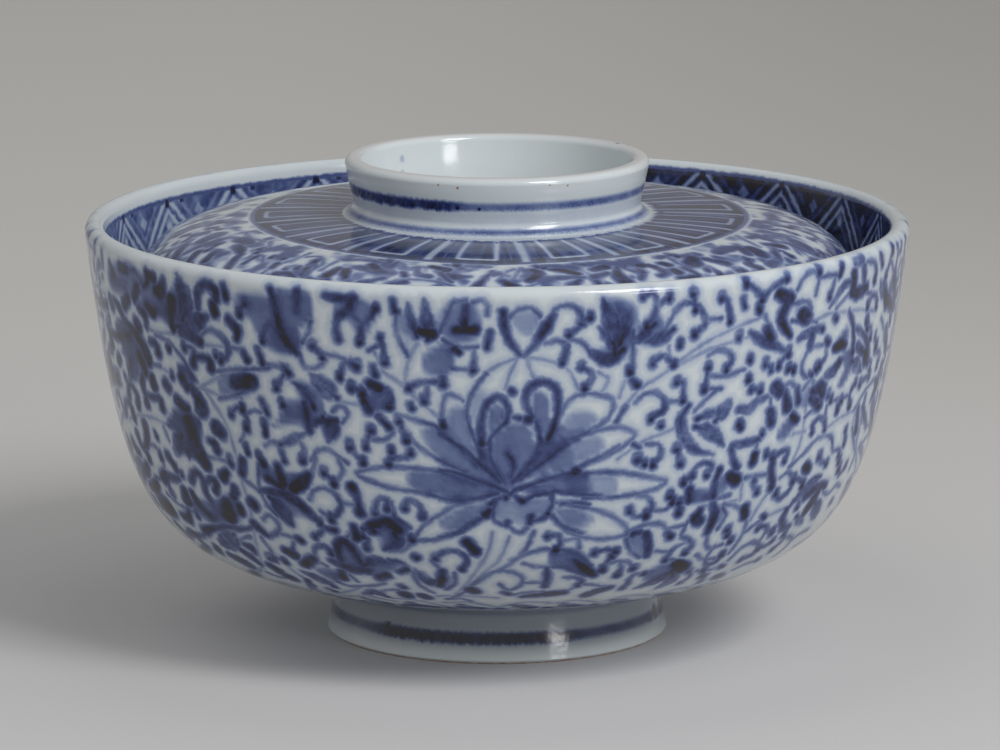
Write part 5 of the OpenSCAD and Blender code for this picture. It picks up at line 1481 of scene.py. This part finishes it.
for path in [
        [(-19.4, 30.9), (-17.4, 29.6), (-14, 29.1), (-10, 29.8), (-7.6, 30.9)],
        [(-40.6, 24), (-38.6, 23), (-36, 24.4), (-34.6, 26.6), (-35.2, 29)], [(-32.8, 24), (-33.4, 28.4)],
        [(-41.6, 22), (-42, 26), (-43.2, 28.2), (-44.2, 32)],
        [(-49.6, 26.6), (-47.6, 28.6), (-46, 30.4), (-48.6, 32.4)], [(0.6, 28.4), (1.6, 25.6), (3.2, 24)],
        [(3, 28.2), (4, 25.4), (4.8, 23.6)], [(5.4, 31), (8, 29.6), (10, 28.6)],
        [(36.8, 21.8), (36.2, 25), (36.8, 28.2)], [(60.6, 26), (62.6, 22), (64.6, 20)],
        [(66.6, 31.6), (69, 29), (70.6, 26.6)], [(-70, 20.4), (-64, 21.4), (-58, 21)],
        [(-52, 20.6), (-48, 21.6), (-46, 23.4)], [(-57, 20.4), (-53, 22.8)]]:
    shoulder.line(*path)
for path in [
        [(-40.6, 29.4), (-39.8, 28.2), (-38.6, 28.6)], [(-44.4, 25.8), (-45.6, 24.8), (-47.4, 26.2)],
        [(-50.8, 27.2), (-50.8, 30)], [(-36.6, 28.2), (-36.2, 30.4)], [(-66, 27), (-65, 29.4)],
        [(-37.2, 24.8), (-37, 25.4)], [(-34.2, 31.6), (-30.4, 31.6)], [(-8.4, 21.8), (-8, 22.2)],
        [(-22.8, 20.9), (-22.4, 21.6)], [(17.6, 29.8), (17.7, 30.6)], [(27, 27), (27.3, 27.6)],
        [(40.2, 29.6), (41.4, 29), (41.6, 31.4)], [(46.2, 31.2), (47.2, 31.6)],
        [(51.8, 28.6), (52.8, 29.4), (51, 30)], [(60, 29.6), (61.6, 28.6), (63.4, 29.4), (63.2, 31)],
        [(71.4, 33.2), (74, 33.6)], [(38, 21.6), (38.8, 22.6)], [(8, 22.8), (9.2, 23.4)],
        [(28, 24.8), (28.6, 25.2)], [(-54, 24), (-52.6, 25.6)], [(-77, 30.2), (-79, 28.4), (-81.6, 29.6)],
        [(77, 23), (79.2, 24.6), (78.4, 27)], [(-78, 23.4), (-81, 24.6)], [(83, 25.4), (86, 26.6)],
        [(-86, 27.2), (-84.4, 30.8)], [(79, 30.4), (82.4, 31.2), (83.4, 29)], [(87, 29.4), (88.6, 31.8)],
        [(-87.6, 22.8), (-85.2, 22.4)]]:
    shoulder.hook(*path)
# Lower down, where the bowl's rim hides the lid, a looser run of curls, dots and leaves
for step in range(30):
    at = 6.0 * step - 90.0
    lean = shoulder.chance.uniform(-1.6, 1.6)
    shoulder.hook((at + lean, 35.0), (at + 2.0, 33.6 + lean * 0.3), (at + 3.6, 35.2))
    shoulder.curl((at + 1.0, 39.4), (at + 3.0 + lean, 37.4), (at + 4.8, 38.8))
    shoulder.leaf((at + 2.0, 45.6), (at + 3.6 + lean, 43.4), (at + 3.0, 41.0), wide=1.2)
    shoulder.dot((at + 5.4, 41.8 + lean), (at + 5.6, 42.2 + lean))
shoulder.again(180)


def rays(spot, wobble):
    """Seventeen panels of rays round the grip: blue, with a white line between two panels and a white
    frame inside each, dark where the brush was set down, and closed by a ring line. The ring is drawn a
    little narrower than it is deep, and a little to the right."""
    panel, frame_out, ring_out = 360.0 / 17.0, 45.5, 47.8
    out, turn = spot.out() + wobble * 0.3, spot.turn()
    aside = out.maths('ABSOLUTE', spot.axis(0)) / out
    out = out - 1.0 + aside * 4.0 - spot.axis(0) / out * 0.45
    off = (turn + 15.3 + (spot.mottled(30.0) - 0.5) * 3.0).folded(panel)
    per_degree = out * 0.01745
    white = (off * per_degree).eased(1.25, 0.3)
    frame_side = ((off - 6.3) * per_degree).near(0.0, 0.50, 0.44)
    frame_end = out.near(frame_out, 0.50, 0.26) * off.eased(6.2, 6.4)
    between = ((off - 3.2) * per_degree).near(0.0, 0.18, 0.24) * 0.4
    white = white + (frame_side + between) * out.eased(45.9, 45.6) + frame_end
    streak = (turn * 0.5).joined(out * 0.06, 0.0).mottled(1.0, detail=3.0)
    white = white.maths('MINIMUM', white, 1.0)
    blue = streak.times_plus(1.0, 0.26) + out.eased(43.4, 46.6) * 0.08
    blue = blue * white.maths('MULTIPLY_ADD', white, aside * 0.16 - 0.76, 1.0)
    start = 30.5 + aside * 0.9 + (streak - 0.5) * 4.0
    blue = blue * (out - start).eased(-0.6, 0.5) * out.eased(48.0, 47.4)
    pool = (out - start).near(0.9, 0.7, 0.7) * streak.eased(0.44, 0.58) * 0.95
    ring_tone = 0.70 - aside * 0.14 + (streak - 0.5) * 0.6
    ring = (out + (streak - 0.5) * 0.6).near(ring_out, 0.70, 0.50) * ring_tone
    blue = blue.maths('MAXIMUM', blue, pool.maths('MAXIMUM', pool, ring))
    leaves = spot.mottled(4.4, detail=1.0).eased(0.38, 0.66) * out.eased(48.4, 49.4) * 0.60
    return blue.maths('MAXIMUM', blue, leaves) * spot.axis(2).eased(60.0, 60.4)


lay_ink(lid, shoulder)
lid.data.materials.append(painted_porcelain("painted_porcelain_lid", rays))
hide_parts("lid_dome")
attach(lid, "lid")


# ---- Grip ring ----
# The turned ring on the crown of the lid, the handle of the lid and its foot when it lies upside down.
# Glazed, with a broad and a narrow cobalt band round its outside and a worn edge with a few specks.
grip_fillet = arc((28.9, 79.9), 2.8, 254.7, 186.0, 12)
grip_outline = np.vstack([
    grip_fillet,
    [(26.6, 81.4), (27.15, 84.0)],
    arc((26.45, 86.45), 1.25, 0.0, 90.0, 8),
    arc((25.75, 86.45), 1.25, 90.0, 180.0, 8),
    [(24.32, 85.2), (24.08, 83.8), (23.76, 82.4), (23.38, 80.9), (22.98, 79.3), (22.3, 78.0)],
    [(21.2, 77.2)],
    grip_fillet[:1],
])
grip = turned("grip_ring_banded", grip_outline, 240)
grip.data.materials.append(banded_porcelain(
    "banded_porcelain_grip",
    [(82.5, 0.72, 0.50, -53.0, 38.0), (78.0, 0.42, 0.56, 180.0, 1.0), (80.2, 1.3, 0.11, 180.0, 1.0)],
    [(-25.7, 26.75, 82.2, 0.6, 1.0), (-15.2, 26.75, 82.3, 0.55, 1.0), (-6.8, 26.75, 82.2, 0.42, 0.95),
     (-34.0, 26.75, 82.2, 0.5, 1.0), (-46.0, 26.75, 82.3, 0.5, 1.0),
     (139.0, 27.0, 87.4, 0.55, 0.8), (122.0, 26.2, 87.7, 0.5, 0.8), (115.5, 26.8, 87.5, 0.55, 0.8),
     (-133.5, 24.0, 84.4, 0.8, 0.2), (-132.5, 23.6, 81.9, 0.6, 0.16)],
    24.6, rust=[(-22.2, 27.7, 86.4, 0.26), (-14.8, 27.7, 86.0, 0.32), (19.9, 27.7, 86.4, 0.2),
                (27.1, 27.7, 86.1, 0.22)], worn_above=87.2))
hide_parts("grip_ring")
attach(grip, "lid")


# ---- Floor, backdrop and light ----
# A pale grey sweep that turns up behind the bowl, a big soft light in front on the right with a small low
# one under it, and a plain even sky.
bpy.ops.object.select_all(action='DESELECT')
bpy.ops.mesh.primitive_plane_add(size=1.0, location=(0.0, 0.0, 0.0))
sweep = bpy.context.object
sweep.name = sweep.data.name = "studio_sweep"
bpy.ops.transform.resize(value=(5.0, 3.2, 1.0))
bpy.ops.transform.translate(value=(0.0, 0.4, 0.0))
bpy.ops.object.transform_apply(location=True, rotation=True, scale=True)
bpy.ops.object.mode_set(mode='EDIT')
bpy.ops.mesh.select_mode(type='VERT')
bpy.ops.mesh.select_all(action='DESELECT')
bpy.ops.object.mode_set(mode='OBJECT')
for corner in sweep.data.vertices:
    corner.select = corner.co.y > 1.0
bpy.ops.object.mode_set(mode='EDIT')
bpy.ops.mesh.extrude_region_move(TRANSFORM_OT_translate={"value": (0.0, 0.2, 1.5)})
bpy.ops.object.mode_set(mode='OBJECT')
paper = bpy.data.materials.new("sweep_paper")
paper.use_nodes = True
paper.node_tree.nodes.clear()
place = Worth(paper.node_tree).node('ShaderNodeTexCoord', None, None, "Object")
deep, aside = place.axis(1), place.axis(0)
# Painted shade: the paper is a little darker towards the back, and darker again at the back on the right,
# where less light falls.
shade = place.node('ShaderNodeMix', {"data_type": 'RGBA'}, {
    0: deep.eased(-0.12, 0.42), 6: srgb(190, 189, 189), 7: srgb(186, 185, 182)}, 2)
shade = place.node('ShaderNodeMix', {"data_type": 'RGBA'}, {
    0: aside.eased(-0.10, 0.20) * deep.eased(-0.10, 0.60), 6: shade, 7: srgb(169, 166, 163)}, 2)
# Painted light: within about 85 mm of the bowl's axis the paper is lighter, lifting the shadow round the
# foot.
under = place.vector('LENGTH', None, "Value").eased(0.085, 0.035)
shade = place.node('ShaderNodeMix', {"data_type": 'RGBA'}, {0: under, 6: shade, 7: srgb(208, 207, 207)}, 2)
matt = place.node('ShaderNodeBsdfPrincipled', None, {"Base Color": shade, "Roughness": 0.9})
matt.node('ShaderNodeOutputMaterial', None, {"Surface": matt})
sweep.data.materials.append(paper)

lamps_away = 1.7
for name, turn, rise, wide, tall, watts in (("softbox", 41.5, 42.0, 0.54, 0.72, 16.0),
                                           ("small_lamp", 42.0, 13.0, 0.33, 0.28, 2.9)):
    a, e = math.radians(turn), math.radians(rise)
    lamp_spot = Vector((math.sin(a) * math.cos(e), -math.cos(a) * math.cos(e), math.sin(e))) * lamps_away
    bpy.ops.object.select_all(action='DESELECT')
    bpy.ops.object.light_add(type='AREA', location=lamp_spot)
    lamp = bpy.context.object
    lamp.name = name
    lamp.rotation_euler = (-lamp_spot).to_track_quat('-Z', 'Y').to_euler()
    lamp.data.shape = 'RECTANGLE'
    lamp.data.size = wide
    lamp.data.size_y = tall
    lamp.data.energy = watts
world = bpy.data.worlds.new("studio")
bpy.context.scene.world = world
world.use_nodes = True
world.node_tree.nodes["Background"].inputs["Color"].default_value = (1.0, 1.0, 1.0, 1.0)
world.node_tree.nodes["Background"].inputs["Strength"].default_value = 0.588
bpy.context.scene.view_settings.view_transform = 'Standard'
